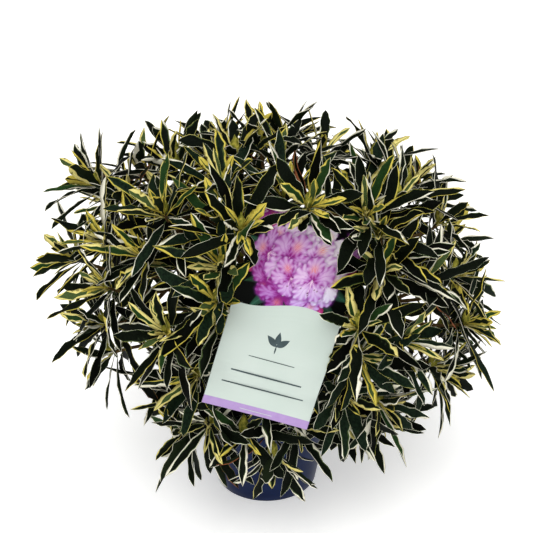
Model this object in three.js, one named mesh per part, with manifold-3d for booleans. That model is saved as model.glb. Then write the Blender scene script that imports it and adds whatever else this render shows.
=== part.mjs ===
// A young variegated rhododendron in a round plastic pot, with a stick-in plant label.
// Millimetres, +Z up. The origin is the centre of the pot's flat underside, and -Y is the front.
import * as THREE from "three";
import { mergeVertices } from "three/addons/utils/BufferGeometryUtils.js";
import Module from "manifold-3d";

const wasm = await Module();
wasm.setup();

// ---------------------------------------------------------------- driving dimensions

const CLEARANCE = 0.3; // between two solids that touch on the real plant

const POT = {
  height: 142,
  rimRadius: 87,
  baseRadius: 60,
  wall: 1.6,
  floor: 2.4,
  bandHeight: 15, // the stiff band under the rim
  bandStep: 2.4, // how far the rim stands out of the wall
  bandTaper: 0.6, // how much narrower the band's foot is than the rim
  footStep: 1.5, // the small chamfer round the foot
  sides: 48,
};

const SOIL = { top: 126, flatRadius: 24, edgeDrop: 5, sides: 32 };

const TRUNK = {
  height: 50,
  lean: new THREE.Vector2(3, -2), // how far the fork stands from above the foot
  flareRadius: 14,
  footRadius: 9.5,
  forkRadius: 8,
  flareShare: 0.28, // the share of the height that the root flare takes
  sides: 8,
  steps: 8,
};

// The crown's outer surface, on which the leaf rosettes sit: half-sizes from its centre.
const CROWN = {
  centre: new THREE.Vector3(7, 6, 267),
  side: 223,
  front: 174,
  back: 192,
  up: 145,
  down: 145,
  squareness: 2.4,
};

// The foliage masses stand in tiers round the crown. tilt is the angle above the crown's centre,
// and slope lowers a tier's right side and raises its left by so many degrees. reach scales the
// distance to the crown's surface, sag adds to it right at the front, where the crown hangs over
// the pot, and lift turns the rosettes' axes upwards.
const TIERS = [
  { name: "skirt", masses: 6, tilt: -43, slope: 10, turn: 264, rosettes: 4, reach: 0.92, sag: 0.3, lift: 0.15 },
  { name: "waist", masses: 7, tilt: -2, slope: 10, turn: 199, rosettes: 5, reach: 1.0, sag: 0, lift: 0.5 },
  { name: "shoulder", masses: 5, tilt: 36, slope: 4, turn: 242, rosettes: 5, reach: 1.0, sag: 0, lift: 0.9 },
  { name: "top", masses: 1, tilt: 84, slope: 0, turn: 90, rosettes: 5, reach: 0.98, sag: 0, lift: 1.0 },
];

const MASS = {
  cellShare: 0.85, // how far out the middle of a mass's own space lies, as a share of its reach
  hubShare: 0.6, // how far out its stem ends
  stemLength: 30,
  stemRadii: [3.2, 2.4],
  stemSides: 5,
  stemSteps: 2,
  unevenness: 0.08, // how far a mass's reach strays from its tier's, as a share of it
  turnJitter: 7, // degrees
  tiltJitter: 4, // degrees
  sagFocus: 6, // the higher, the fewer masses sag beside the one at the front
  layoutSeed: 156,
  firstSeed: 2300,
};

// Twigs leave a mass's stem one after another and end in rosettes on the crown's surface.
const TWIG = {
  radii: [2.5, 2.1],
  sides: 3,
  steps: 3,
  spread: 0.36, // radians from the mass's middle to its outer rosettes
  innermost: 0.35, // the first rosette's place on the spiral, in rosettes
  turnJitter: 0.25, // radians
  firstFork: 0.35, // where the first twig leaves the stem, as a share of its length
  bend: 0.45, // length of the bend along the rosette's axis, as a share of the twig's
  reach: [0.93, 1.05], // shortest and longest, as shares of the crown's reach
  pulls: [1, 0.88, 0.76, 0.64], // tries at a rosette's distance, as shares of its reach
};

// How much room a twig keeps on each side.
const ROOM = { cell: 3, limb: 3.5, card: 6, tongue: 3, pot: 5, samples: 6, limbSamples: 12 };

const BUD = { radius: 4.4, shoulder: 2, above: 19 }; // its widest place and tip above the twig's end

// A rosette's leaves: an upright inner whorl and a spreading outer one.
const WHORLS = [
  { leaves: 2, length: 54, width: 20, open: 38, rise: 5, offset: 0 },
  { leaves: 5, length: 70, width: 28, open: 80, rise: 1, offset: 1.1 },
];
const LEAF = {
  thickness: 1.1,
  rootDepth: 0.4, // how far from the bud's axis the leaf's root lies, inside the bud
  arch: 0.07, // rise of the blade's middle, as a share of its length
  droop: 0.16, // fall of the tip, as a share of its length
  jitter: 13, // degrees
  sizes: [0.88, 1.12], // smallest and largest, as shares of the whorl's size
  trims: [1, 0.84, 0.68], // tries at a leaf's length, as shares of the full one
};

const BOUGH = {
  leader: { radii: [6.2, 3.8], from: [0.97, 0.97], arch: 0.02 },
  waist: { radii: [5.2, 3.6], from: [0.5, 0.92], arch: 0.1 },
  shoulder: { radii: [4.2, 3.3], from: [0.3, 0.62], arch: 0.06 },
  skirt: { radii: [4.4, 3.4], from: [0.18, 0.4], arch: 0.2 },
  sides: 6,
  steps: 5,
};

// The label is a printed plastic card on a narrow tongue, rolled sideways and leaning back.
const LABEL = {
  cardWidth: 112,
  tongueWidth: 16,
  thickness: 0.8,
  roll: 17, // degrees, the top to the right
  entry: new THREE.Vector3(-44, -50, 94), // the tongue's tip, down in the soil
  // The strip's side profile: distance up from the tip, and distance forward of it.
  tongue: [[0, 0], [36, 0], [57, 10], [71, 34], [84, 66], [98, 102], [111, 131]],
  card: [[108, 132], [175, 120], [245, 102], [313, 82]],
  steps: 8,
};

const COLOURS = {
  pot: 0x2b3f78,
  soil: 0x3a2a20,
  bark: 0x6b5138,
  foliage: 0x24402a,
  label: 0xdfe9df,
};

// ---------------------------------------------------------------- small helpers

const UP = new THREE.Vector3(0, 0, 1);
const FORWARD = new THREE.Vector3(0, -1, 0);
const ASKEW = new THREE.Vector3(0.3, 1, 0.2); // a direction that no rosette's axis takes
const GOLDEN_ANGLE = Math.PI * (3 - Math.sqrt(5));
const radians = THREE.MathUtils.degToRad;

/** A repeatable stream of numbers from 0 to 1; either gives one that lies up to a size from 0. */
function seeded(seed) {
  let state = seed >>> 0;
  const random = () => {
    state = (Math.imul(state, 1664525) + 1013904223) >>> 0;
    return state / 4294967296;
  };
  random.either = (size) => (2 * random() - 1) * size;
  return random;
}

/** A closed three.js geometry as a solid that can be joined and cut. */
function solidOf(geometry) {
  const bare = new THREE.BufferGeometry();
  bare.setAttribute("position", geometry.getAttribute("position"));
  bare.setIndex(geometry.index);
  const merged = mergeVertices(bare, 1e-4);
  return new wasm.Manifold(
    new wasm.Mesh({
      numProp: 3,
      vertProperties: new Float32Array(merged.attributes.position.array),
      triVerts: new Uint32Array(merged.index.array),
    }),
  );
}

/** The largest single body of a solid, so that a scrap left by a cut is dropped. */
function largestBody(solid) {
  const bodies = solid.decompose().sort((a, b) => b.volume() - a.volume());
  return bodies[0];
}

/** A solid as a named mesh. */
function meshOf(name, solid, colour, roughness) {
  const { vertProperties, triVerts } = solid.getMesh();
  const geometry = new THREE.BufferGeometry();
  geometry.setAttribute("position", new THREE.BufferAttribute(vertProperties, 3));
  geometry.setIndex(new THREE.BufferAttribute(triVerts, 1));
  geometry.computeVertexNormals();
  const material = new THREE.MeshStandardMaterial({ color: colour, roughness, metalness: 0 });
  const mesh = new THREE.Mesh(geometry, material);
  mesh.name = name;
  return mesh;
}

/** Rings of a tapering tube along a curve; radiusAt is a function of the share of the way along. */
function ringsAlong(curve, radiusAt, steps) {
  const frames = curve.computeFrenetFrames(steps, false);
  return Array.from({ length: steps + 1 }, (_, i) => ({
    centre: curve.getPoint(i / steps),
    across: [frames.normals[i], frames.binormals[i]],
    radius: radiusAt(i / steps),
  }));
}

/** A closed tube through rings, with flat ends or, where a tip is given, a pointed far end. */
function tubeThrough(rings, sides, tip = null) {
  const positions = [];
  for (const { centre, across, radius } of rings)
    for (let k = 0; k < sides; k++) {
      const turn = (2 * Math.PI * k) / sides;
      const corner = centre.clone().addScaledVector(across[0], radius * Math.cos(turn));
      positions.push(...corner.addScaledVector(across[1], radius * Math.sin(turn)).toArray());
    }
  const index = [];
  const last = (rings.length - 1) * sides;
  for (let i = 0; i < last; i += sides)
    for (let k = 0; k < sides; k++) {
      const a = i + k;
      const b = i + ((k + 1) % sides);
      index.push(a, b, b + sides, a, b + sides, a + sides);
    }
  for (let k = 1; k < sides - 1; k++) {
    index.push(0, k + 1, k);
    if (!tip) index.push(last, last + k, last + k + 1);
  }
  if (tip) {
    positions.push(...tip.toArray());
    for (let k = 0; k < sides; k++) index.push(last + k, last + ((k + 1) % sides), last + sides);
  }
  const geometry = new THREE.BufferGeometry();
  geometry.setAttribute("position", new THREE.Float32BufferAttribute(positions, 3));
  geometry.setIndex(index);
  return solidOf(geometry);
}

/** A function that runs evenly from the first value to the last. */
const linear = ([first, last]) => (share) => first + (last - first) * share;

// ---------------------------------------------------------------- pot and soil

/** The pot's outer radius at a height on its sloping wall, under the band. */
function wallRadius(z) {
  const top = POT.rimRadius - POT.bandStep;
  return POT.baseRadius + ((top - POT.baseRadius) * z) / POT.height;
}

function potSolid() {
  const bandFoot = POT.height - POT.bandHeight;
  const profile = [
    [0, 0],
    [POT.baseRadius - POT.footStep, 0],
    [wallRadius(POT.footStep), POT.footStep],
    [wallRadius(bandFoot), bandFoot],
    [POT.rimRadius - POT.bandTaper, bandFoot],
    [POT.rimRadius, POT.height],
    [wallRadius(POT.height) - POT.wall, POT.height],
    [wallRadius(POT.floor) - POT.wall, POT.floor],
    [0, POT.floor],
  ];
  const points = profile.map(([r, z]) => new THREE.Vector2(r, z));
  return solidOf(new THREE.LatheGeometry(points, POT.sides).rotateX(Math.PI / 2));
}

function soilSolid() {
  const foot = POT.floor + CLEARANCE;
  const edge = SOIL.top - SOIL.edgeDrop;
  const inside = (z) => (wallRadius(z) - POT.wall) * Math.cos(Math.PI / POT.sides) - CLEARANCE;
  const profile = [
    [0, foot],
    [inside(foot), foot],
    [inside(edge), edge],
    [SOIL.flatRadius, SOIL.top],
    [0, SOIL.top],
  ];
  const points = profile.map(([r, z]) => new THREE.Vector2(r, z));
  return solidOf(new THREE.LatheGeometry(points, SOIL.sides).rotateX(Math.PI / 2));
}

// ---------------------------------------------------------------- label

/** The label's own axes: across the card, up along it and out of its face. */
const LABEL_ACROSS = new THREE.Vector3(1, 0, 0).applyAxisAngle(FORWARD, -radians(LABEL.roll));
const LABEL_ALONG = UP.clone().applyAxisAngle(FORWARD, -radians(LABEL.roll));
const LABEL_OUT = FORWARD;

/** A strip of the label: its side profile thickened by half on each side, extruded to its width. */
function labelStrip(profile, width, half) {
  const spine = new THREE.SplineCurve(profile.map(([along, out]) => new THREE.Vector2(out, along)));
  const front = [];
  const back = [];
  for (let i = 0; i <= LABEL.steps; i++) {
    const share = i / LABEL.steps;
    const point = spine.getPoint(share);
    const tangent = spine.getTangent(share);
    const normal = new THREE.Vector2(tangent.y, -tangent.x);
    front.push(point.clone().addScaledVector(normal, half));
    back.unshift(point.clone().addScaledVector(normal, -half));
  }
  const shape = new THREE.Shape([...front, ...back]);
  const geometry = new THREE.ExtrudeGeometry(shape, { depth: width, bevelEnabled: false, steps: 1 });
  geometry.translate(0, 0, -width / 2);
  const place = new THREE.Matrix4().makeBasis(LABEL_OUT, LABEL_ALONG, LABEL_ACROSS.clone().negate());
  geometry.applyMatrix4(place.setPosition(LABEL.entry));
  return solidOf(geometry);
}

function labelSolid(grow = 0) {
  const half = LABEL.thickness / 2 + grow;
  const card = labelStrip(LABEL.card, LABEL.cardWidth + 2 * grow, half);
  return card.add(labelStrip(LABEL.tongue, LABEL.tongueWidth + 2 * grow, half));
}

// ---------------------------------------------------------------- crown layout

/** How far the crown's surface lies from its centre in a direction. */
function crownReach(direction) {
  const p = CROWN.squareness;
  const x = Math.abs(direction.x) / CROWN.side;
  const y = Math.abs(direction.y) / (direction.y < 0 ? CROWN.front : CROWN.back);
  const z = Math.abs(direction.z) / (direction.z < 0 ? CROWN.down : CROWN.up);
  return (x ** p + y ** p + z ** p) ** (-1 / p);
}

function directionAt(azimuth, tilt) {
  return new THREE.Vector3(
    Math.cos(tilt) * Math.cos(azimuth),
    Math.cos(tilt) * Math.sin(azimuth),
    Math.sin(tilt),
  );
}

const onCrown = (direction, share) =>
  CROWN.centre.clone().addScaledVector(direction, share * crownReach(direction));

/** The foliage masses, each with its name, tier, direction, seed point and hub. */
function layOutMasses() {
  const random = seeded(MASS.layoutSeed);
  const masses = [];
  for (const tier of TIERS)
    for (let i = 0; i < tier.masses; i++) {
      const azimuth = tier.turn + (360 * i) / tier.masses + random.either(MASS.turnJitter);
      const slope = tier.slope * Math.cos(radians(azimuth));
      const tilt = tier.tilt - slope + random.either(MASS.tiltJitter);
      const direction = directionAt(radians(azimuth), radians(tilt));
      const frontness = Math.max(0, -Math.sin(radians(azimuth))) ** MASS.sagFocus;
      const strayed = 1 + random.either(MASS.unevenness);
      const reach = tier.reach * (1 + tier.sag * frontness) * strayed;
      masses.push({
        name: tier.masses > 1 ? `${tier.name}_${i + 1}` : tier.name,
        tier,
        direction,
        reach,
        seed: MASS.firstSeed + masses.length,
        cell: onCrown(direction, MASS.cellShare * reach),
        hub: onCrown(direction, MASS.hubShare * reach),
      });
    }
  return masses;
}

const masses = layOutMasses();

/** How far inside a mass's own space a point lies; below 0 it is in a neighbour's. */
function depthInCell(point, mass) {
  let least = Infinity;
  for (const other of masses) {
    if (other === mass) continue;
    const apart = other.cell.distanceTo(mass.cell);
    const nearer = point.distanceToSquared(other.cell) - point.distanceToSquared(mass.cell);
    least = Math.min(least, nearer / (2 * apart));
  }
  return least;
}

// ---------------------------------------------------------------- trunk and boughs

const trunkFoot = new THREE.Vector3(0, 0, SOIL.top + CLEARANCE);
const trunkFork = new THREE.Vector3(TRUNK.lean.x, TRUNK.lean.y, SOIL.top + TRUNK.height);

function trunkLimb() {
  const middle = new THREE.Vector3(trunkFoot.x, trunkFoot.y, (trunkFoot.z + trunkFork.z) / 2);
  const radiusAt = (share) => {
    const flare = Math.max(0, 1 - share / TRUNK.flareShare) ** 2;
    return linear([TRUNK.footRadius, TRUNK.forkRadius])(share) + flare * (TRUNK.flareRadius - TRUNK.footRadius);
  };
  const curve = new THREE.QuadraticBezierCurve3(trunkFoot, middle, trunkFork);
  return { name: "trunk", curve, radiusAt, sides: TRUNK.sides, steps: TRUNK.steps };
}

/** One tapering limb that leaves its parent's axis at a share of its length and arches to an end. */
function boughLimb(name, parent, share, end, form) {
  const start = parent.curve.getPoint(share);
  const bend = start.clone().lerp(end, 0.5);
  bend.z += form.arch * start.distanceTo(end);
  const curve = new THREE.QuadraticBezierCurve3(start, bend, end);
  return { name, curve, radiusAt: linear(form.radii), sides: BOUGH.sides, steps: BOUGH.steps };
}

/** Where a mass's bough ends and its stem begins, on the way from the limb's foot to the hub. */
function entryOf(mass, foot) {
  const inward = foot.clone().sub(mass.hub).normalize();
  return mass.hub.clone().addScaledVector(inward, MASS.stemLength);
}

/** The trunk, then the boughs of each tier, spaced along the limb that carries the tier. */
function layOutLimbs() {
  const trunk = trunkLimb();
  const limbs = [trunk];
  const growTier = (tierName, parent, form, skip) => {
    const tier = masses.filter((mass) => mass.tier.name === tierName);
    const [low, high] = form.from;
    tier.forEach((mass, i) => {
      const rank = (i * skip) % tier.length;
      const share = low + ((high - low) * rank) / Math.max(1, tier.length - 1);
      const entry = entryOf(mass, parent.curve.getPoint(share));
      mass.bough = boughLimb(`bough_${mass.name}`, parent, share, entry, form);
      limbs.push(mass.bough);
    });
    return tier[0].bough;
  };
  const leader = growTier("top", trunk, BOUGH.leader, 1);
  growTier("waist", trunk, BOUGH.waist, 3);
  growTier("shoulder", leader, BOUGH.shoulder, 2);
  growTier("skirt", trunk, BOUGH.skirt, 5);
  return limbs;
}

const limbs = layOutLimbs();

/** A limb's solid, its radius grown by a margin. */
function limbSolid(limb, margin = 0) {
  const radiusAt = (share) => limb.radiusAt(share) + margin;
  return tubeThrough(ringsAlong(limb.curve, radiusAt, limb.steps), limb.sides);
}

/** How clear a point is of every limb's bark. */
function clearOfLimbs(point) {
  let least = Infinity;
  for (const limb of limbs)
    for (let i = 0; i <= ROOM.limbSamples; i++) {
      const share = i / ROOM.limbSamples;
      least = Math.min(least, point.distanceTo(limb.curve.getPoint(share)) - limb.radiusAt(share));
    }
  return least;
}

/** How far a point lies from the label's tongue, taken as a round bar. */
function clearOfTongue(point) {
  const along = LABEL.tongue.map(([up, out]) =>
    LABEL.entry.clone().addScaledVector(LABEL_ALONG, up).addScaledVector(LABEL_OUT, out),
  );
  return Math.min(...along.map((centre) => centre.distanceTo(point))) - LABEL.tongueWidth;
}

/** How far a point lies behind the label's card or outside its edges; below 0 it is in front. */
function clearOfCard(point) {
  const from = point.clone().sub(LABEL.entry);
  const across = Math.abs(from.dot(LABEL_ACROSS)) - LABEL.cardWidth / 2;
  const along = from.dot(LABEL_ALONG);
  const [foot, head] = [LABEL.card[0], LABEL.card[LABEL.card.length - 1]];
  const share = THREE.MathUtils.clamp((along - foot[0]) / (head[0] - foot[0]), 0, 1);
  const behind = foot[1] + (head[1] - foot[1]) * share - from.dot(LABEL_OUT);
  const beyond = Math.max(foot[0] - along, along - head[0]);
  return Math.max(across, beyond, behind);
}

// ---------------------------------------------------------------- foliage

/** A blade of eight faces from its root to its tip, with a raised middle and a falling tip. */
function leafSolid(root, out, face, length, width) {
  const across = new THREE.Vector3().crossVectors(face, out).normalize();
  const middle = root.clone().addScaledVector(out, length * 0.5).addScaledVector(face, length * LEAF.arch);
  const tip = root.clone().addScaledVector(out, length);
  tip.z -= length * LEAF.droop * Math.hypot(out.x, out.y);
  const half = LEAF.thickness / 2;
  const corners = [
    root,
    middle.clone().addScaledVector(across, width / 2),
    middle.clone().addScaledVector(face, half),
    middle.clone().addScaledVector(across, -width / 2),
    middle.clone().addScaledVector(face, -half),
    tip,
  ];
  const geometry = new THREE.BufferGeometry();
  geometry.setAttribute("position", new THREE.Float32BufferAttribute(corners.flatMap((c) => c.toArray()), 3));
  geometry.setIndex([0, 2, 1, 0, 3, 2, 0, 4, 3, 0, 1, 4, 5, 1, 2, 5, 2, 3, 5, 3, 4, 5, 4, 1]);
  return { solid: solidOf(geometry), corners };
}

/** A twig that swells into the pointed bud at its end, in which the leaves are rooted. */
function twigSolid({ twig, foot, axis }) {
  const rings = ringsAlong(twig, linear(TWIG.radii), TWIG.steps);
  const { across } = rings[TWIG.steps];
  rings.push({ centre: foot.clone().addScaledVector(axis, BUD.shoulder), across, radius: BUD.radius });
  return tubeThrough(rings, TWIG.sides, foot.clone().addScaledVector(axis, BUD.above));
}

/** The rosettes of a mass: foot, axis and twig of each, on a golden-angle patch of the crown. */
function layOutRosettes(mass) {
  const random = seeded(mass.seed);
  const sideways = new THREE.Vector3().crossVectors(UP, mass.direction).normalize();
  const upward = new THREE.Vector3().crossVectors(mass.direction, sideways);
  const rosettes = [];
  const count = mass.tier.rosettes;
  for (let i = 0; i < count; i++) {
    const turn = i * GOLDEN_ANGLE + random.either(TWIG.turnJitter) + mass.seed;
    const away = TWIG.spread * Math.sqrt((i + TWIG.innermost) / (count - 1 + TWIG.innermost));
    const direction = mass.direction
      .clone()
      .addScaledVector(sideways, Math.tan(away) * Math.cos(turn))
      .addScaledVector(upward, Math.tan(away) * Math.sin(turn))
      .normalize();
    const reach = mass.reach * linear(TWIG.reach)(random());
    const axis = direction.clone().addScaledVector(UP, mass.tier.lift).normalize();
    const fork = linear([TWIG.firstFork, 1])(i / (count - 1));
    for (const pull of TWIG.pulls) {
      const foot = onCrown(direction, reach * pull);
      const twig = twigCurve(mass, fork, foot, axis);
      if (!roomForTwig(twig, mass)) continue;
      rosettes.push({ foot, axis, twig, turn: random() * 2 * Math.PI });
      break;
    }
  }
  return rosettes;
}

/** A mass's stem: from just past its bough's tip, in line with it, to the hub. */
function stemCurve(mass) {
  const tip = mass.bough.curve.getPoint(1);
  const ahead = mass.bough.curve.getTangent(1);
  const start = tip.clone().addScaledVector(ahead, CLEARANCE);
  const bend = start.clone().addScaledVector(ahead, MASS.stemLength / 2);
  return new THREE.QuadraticBezierCurve3(start, bend, mass.hub);
}

/** A twig from a share of the way along its mass's stem to a rosette, which it reaches axis-on. */
function twigCurve(mass, fork, foot, axis) {
  const start = stemCurve(mass).getPoint(fork);
  const bend = foot.clone().addScaledVector(axis, -TWIG.bend * start.distanceTo(foot));
  return new THREE.QuadraticBezierCurve3(start, bend, foot);
}

/** True if a twig and its bud stay in the mass's space, clear of limbs, label and pot. */
function roomForTwig(twig, mass) {
  const points = twig.getPoints(ROOM.samples);
  points.push(points[ROOM.samples].clone().addScaledVector(twig.getTangent(1), BUD.above));
  return points.every(
    (point, i) =>
      depthInCell(point, mass) > ROOM.cell &&
      (i < 2 || clearOfLimbs(point) > ROOM.limb) &&
      clearOfCard(point) > ROOM.card &&
      clearOfTongue(point) > ROOM.tongue &&
      clearOfPot(point) > ROOM.pot,
  );
}

/** How far a point lies outside the pot's rim or above it. */
function clearOfPot(point) {
  return Math.max(Math.hypot(point.x, point.y) - POT.rimRadius, point.z - POT.height);
}

/** The solids that no leaf may touch, grown by the clearance. */
const obstacles = wasm.Manifold.union([
  ...limbs.map((limb) => limbSolid(limb, CLEARANCE)),
  labelSolid(CLEARANCE),
  potSolid(),
  soilSolid(),
]);

/** The leaves of one rosette that stay in the mass's space and touch nothing but their own twig. */
function rosetteLeaves(rosette, mass, random, others) {
  const sideways = new THREE.Vector3().crossVectors(rosette.axis, ASKEW).normalize();
  const leaves = [];
  for (const whorl of WHORLS)
    for (let i = 0; i < whorl.leaves; i++) {
      const step = (2 * Math.PI * i) / whorl.leaves;
      const turn = rosette.turn + whorl.offset + step + radians(random.either(LEAF.jitter));
      const open = radians(whorl.open + random.either(LEAF.jitter));
      const flat = sideways.clone().applyAxisAngle(rosette.axis, turn);
      const out = rosette.axis.clone().multiplyScalar(Math.cos(open)).addScaledVector(flat, Math.sin(open));
      const face = rosette.axis.clone().multiplyScalar(Math.sin(open)).addScaledVector(flat, -Math.cos(open));
      const root = rosette.foot
        .clone()
        .addScaledVector(rosette.axis, whorl.rise)
        .addScaledVector(out, LEAF.rootDepth);
      const size = linear(LEAF.sizes)(random());
      for (const trim of LEAF.trims) {
        const leaf = leafSolid(root, out, face, whorl.length * size * trim, whorl.width * size);
        const inside = leaf.corners.every((corner) => depthInCell(corner, mass) > CLEARANCE);
        if (!inside || !leaf.solid.intersect(obstacles).isEmpty()) continue;
        if (others.some((other) => !leaf.solid.intersect(other).isEmpty())) continue;
        leaves.push(leaf.solid);
        break;
      }
    }
  return leaves;
}

/** One mass of foliage: stem, twigs with buds, and leaves, fused into a single body. */
function massSolid(mass) {
  const random = seeded(mass.seed + 1000);
  const stem = tubeThrough(ringsAlong(stemCurve(mass), linear(MASS.stemRadii), MASS.stemSteps), MASS.stemSides);
  const rosettes = layOutRosettes(mass);
  const twigs = rosettes.map(twigSolid);
  const leaves = [];
  rosettes.forEach((rosette, i) => {
    const otherTwigs = twigs.filter((twig) => twig !== twigs[i]);
    leaves.push(...rosetteLeaves(rosette, mass, random, [...otherTwigs, ...leaves]));
  });
  return largestBody(wasm.Manifold.union([stem, ...twigs, ...leaves]));
}

// ---------------------------------------------------------------- assembly

const plant = new THREE.Group();

plant.add(meshOf("pot", potSolid(), COLOURS.pot, 0.35));
plant.add(meshOf("soil", soilSolid().subtract(labelSolid(CLEARANCE)), COLOURS.soil, 0.95));
plant.add(meshOf("label", labelSolid(), COLOURS.label, 0.4));

// Each limb is cut clear of the limbs laid out before it, so its foot is a saddle on its parent.
const laid = [];
for (const limb of limbs) {
  let solid = limbSolid(limb);
  for (const earlier of laid) solid = solid.subtract(limbSolid(earlier, CLEARANCE));
  laid.push(limb);
  plant.add(meshOf(limb.name, largestBody(solid), COLOURS.bark, 0.85));
}

for (const mass of masses) plant.add(meshOf(`foliage_${mass.name}`, massSolid(mass), COLOURS.foliage, 0.5));

export default plant;
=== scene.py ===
"""Dresses a young variegated rhododendron in its nursery pot, with its stick-in plant label.

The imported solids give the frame: metres, +Z up, the origin at the centre of the pot's flat
underside, and -Y to the front. The plant grows here by the same rule as its solids do, worked out
in millimetres, and is carried on to finer twigs, whorls and margins. A mesh is scaled to metres
as it is made.
"""

import logging
import math
from dataclasses import dataclass, field, replace
from enum import Enum
from typing import Callable, ClassVar, Optional, Sequence

import bpy
import numpy as np
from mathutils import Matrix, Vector, noise


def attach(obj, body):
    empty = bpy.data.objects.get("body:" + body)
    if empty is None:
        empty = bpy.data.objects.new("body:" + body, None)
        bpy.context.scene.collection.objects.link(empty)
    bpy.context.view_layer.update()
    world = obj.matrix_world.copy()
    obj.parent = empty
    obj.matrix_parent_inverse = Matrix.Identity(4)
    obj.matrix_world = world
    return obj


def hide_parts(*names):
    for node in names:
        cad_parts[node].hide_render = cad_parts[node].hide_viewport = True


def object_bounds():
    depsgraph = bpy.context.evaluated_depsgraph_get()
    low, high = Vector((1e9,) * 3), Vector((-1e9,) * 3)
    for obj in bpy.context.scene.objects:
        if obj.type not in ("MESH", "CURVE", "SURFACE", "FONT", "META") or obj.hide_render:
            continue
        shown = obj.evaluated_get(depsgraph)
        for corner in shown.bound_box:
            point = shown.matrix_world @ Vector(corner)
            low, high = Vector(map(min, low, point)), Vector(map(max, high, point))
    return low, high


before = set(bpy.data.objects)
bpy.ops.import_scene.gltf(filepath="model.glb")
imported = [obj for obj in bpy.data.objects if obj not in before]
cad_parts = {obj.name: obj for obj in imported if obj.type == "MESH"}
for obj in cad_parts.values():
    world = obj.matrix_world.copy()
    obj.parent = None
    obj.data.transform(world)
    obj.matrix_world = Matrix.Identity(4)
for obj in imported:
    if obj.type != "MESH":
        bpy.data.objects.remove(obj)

Array = np.ndarray
Node, NodeTree, Socket = bpy.types.Node, bpy.types.NodeTree, bpy.types.NodeSocket
Material, Piece = bpy.types.Material, bpy.types.Object
Faces = list[tuple[int, ...]]

CAD_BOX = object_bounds()
LOG = logging.getLogger("rhododendron")
MM = 0.001
BODY = "root"
FULL_TURN = 2 * math.pi
GOLDEN_ANGLE = math.pi * (3 - math.sqrt(5))
UP = np.array([0.0, 0.0, 1.0])
FORWARD = np.array([0.0, -1.0, 0.0])
WHITE = (1.0, 1.0, 1.0, 1.0)


# ---------------- numbers and curves


def unit(vector: Array) -> Array:
    """The vector at length 1."""
    return vector / np.linalg.norm(vector)


def dot(one: Array, two: Array) -> float:
    """The dot product."""
    return float(np.dot(one, two))


def apart(one: Array, two: Array) -> float:
    """The distance between two points."""
    return float(np.linalg.norm(one - two))


def square(vector: Array) -> float:
    """The square of a vector's length."""
    return float(np.sum(vector**2))


def squared_to(vector: Array, axis: Array) -> Array:
    """The unit direction nearest to a vector that is square to a unit axis."""
    return unit(vector - axis * dot(vector, axis))


def turned(vector: Array, axis: Array, angle: float) -> Array:
    """A vector turned right-handed about a unit axis, by an angle in radians."""
    along = axis * dot(axis, vector)
    return along + (vector - along) * math.cos(angle) + np.cross(axis, vector) * math.sin(angle)


def bearing(turn: float, rise: float) -> Array:
    """The unit direction at a turn about Z and a rise above the floor, in radians."""
    flat = math.cos(rise)
    return np.array([flat * math.cos(turn), flat * math.sin(turn), math.sin(rise)])


def mixed(low: float, high: float, share: float) -> float:
    """The value at a share of the way from low to high."""
    return low + (high - low) * share


def clamped(value: float, low: float = 0.0, high: float = 1.0) -> float:
    """The value, kept from low to high."""
    return min(max(value, low), high)


class Chance:
    """A repeatable stream of numbers, the same one that the solids' growth rule draws from."""

    def __init__(self, seed: int) -> None:
        """Starts the stream at a seed."""
        self.state = seed & 0xFFFFFFFF

    def __call__(self) -> float:
        """The next number, from 0 to 1."""
        self.state = (self.state * 1664525 + 1013904223) & 0xFFFFFFFF
        return self.state / 4294967296

    def either(self, size: float) -> float:
        """The next number, up to a size on either side of 0."""
        return (2 * self() - 1) * size

    def between(self, low: float, high: float) -> float:
        """The next number, from low to high."""
        return mixed(low, high, self())


@dataclass(frozen=True)
class Bend:
    """A curve with one bend in it: its start, the corner it is drawn towards, and its end."""

    start: Array
    corner: Array
    end: Array

    def point(self, share: float) -> Array:
        """The point at a share of the way along."""
        rest = 1 - share
        return rest * rest * self.start + 2 * rest * share * self.corner + share * share * self.end

    def heading(self, share: float) -> Array:
        """The unit direction at a share of the way along."""
        return unit((1 - share) * (self.corner - self.start) + share * (self.end - self.corner))

    def points(self, steps: int) -> Array:
        """Evenly parted points from the start to the end."""
        return np.array([self.point(i / steps) for i in range(steps + 1)])


# ---------------- meshes and nodes


def linked(name: str, data: bpy.types.ID) -> Piece:
    """Puts a new object at the scene's origin.

    Args:
        name: Its name.
        data: Its mesh, curve, light or camera.

    Returns:
        The object.
    """
    piece = bpy.data.objects.new(name, data)
    bpy.context.scene.collection.objects.link(piece)
    return piece


def ring(radius: float, sides: int, z: float) -> list[list[float]]:
    """Points anticlockwise round the Z axis."""
    turns = [FULL_TURN * k / sides for k in range(sides)]
    return [[radius * math.cos(turn), radius * math.sin(turn), z] for turn in turns]


def tube_faces(steps: int, sides: int, inward: bool = False, first: int = 0) -> Faces:
    """The walls of a tube through rings of points, and after them its foot and its head.

    Args:
        steps: How many spans it has.
        sides: How many points each ring has, anticlockwise about the tube's heading.
        inward: True where the rings run clockwise.
        first: The number of the first ring's first point.

    Returns:
        The faces, as numbers of points.
    """
    faces = []
    for a in range(first, first + steps * sides):
        b = a + 1 if (a + 1 - first) % sides else a + 1 - sides
        faces.append((a, a + sides, b + sides, b) if inward else (a, b, b + sides, a + sides))
    foot, head = ([start + k for k in range(sides)] for start in (first, first + steps * sides))
    (head if inward else foot).reverse()
    return faces + [tuple(foot), tuple(head)]


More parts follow.
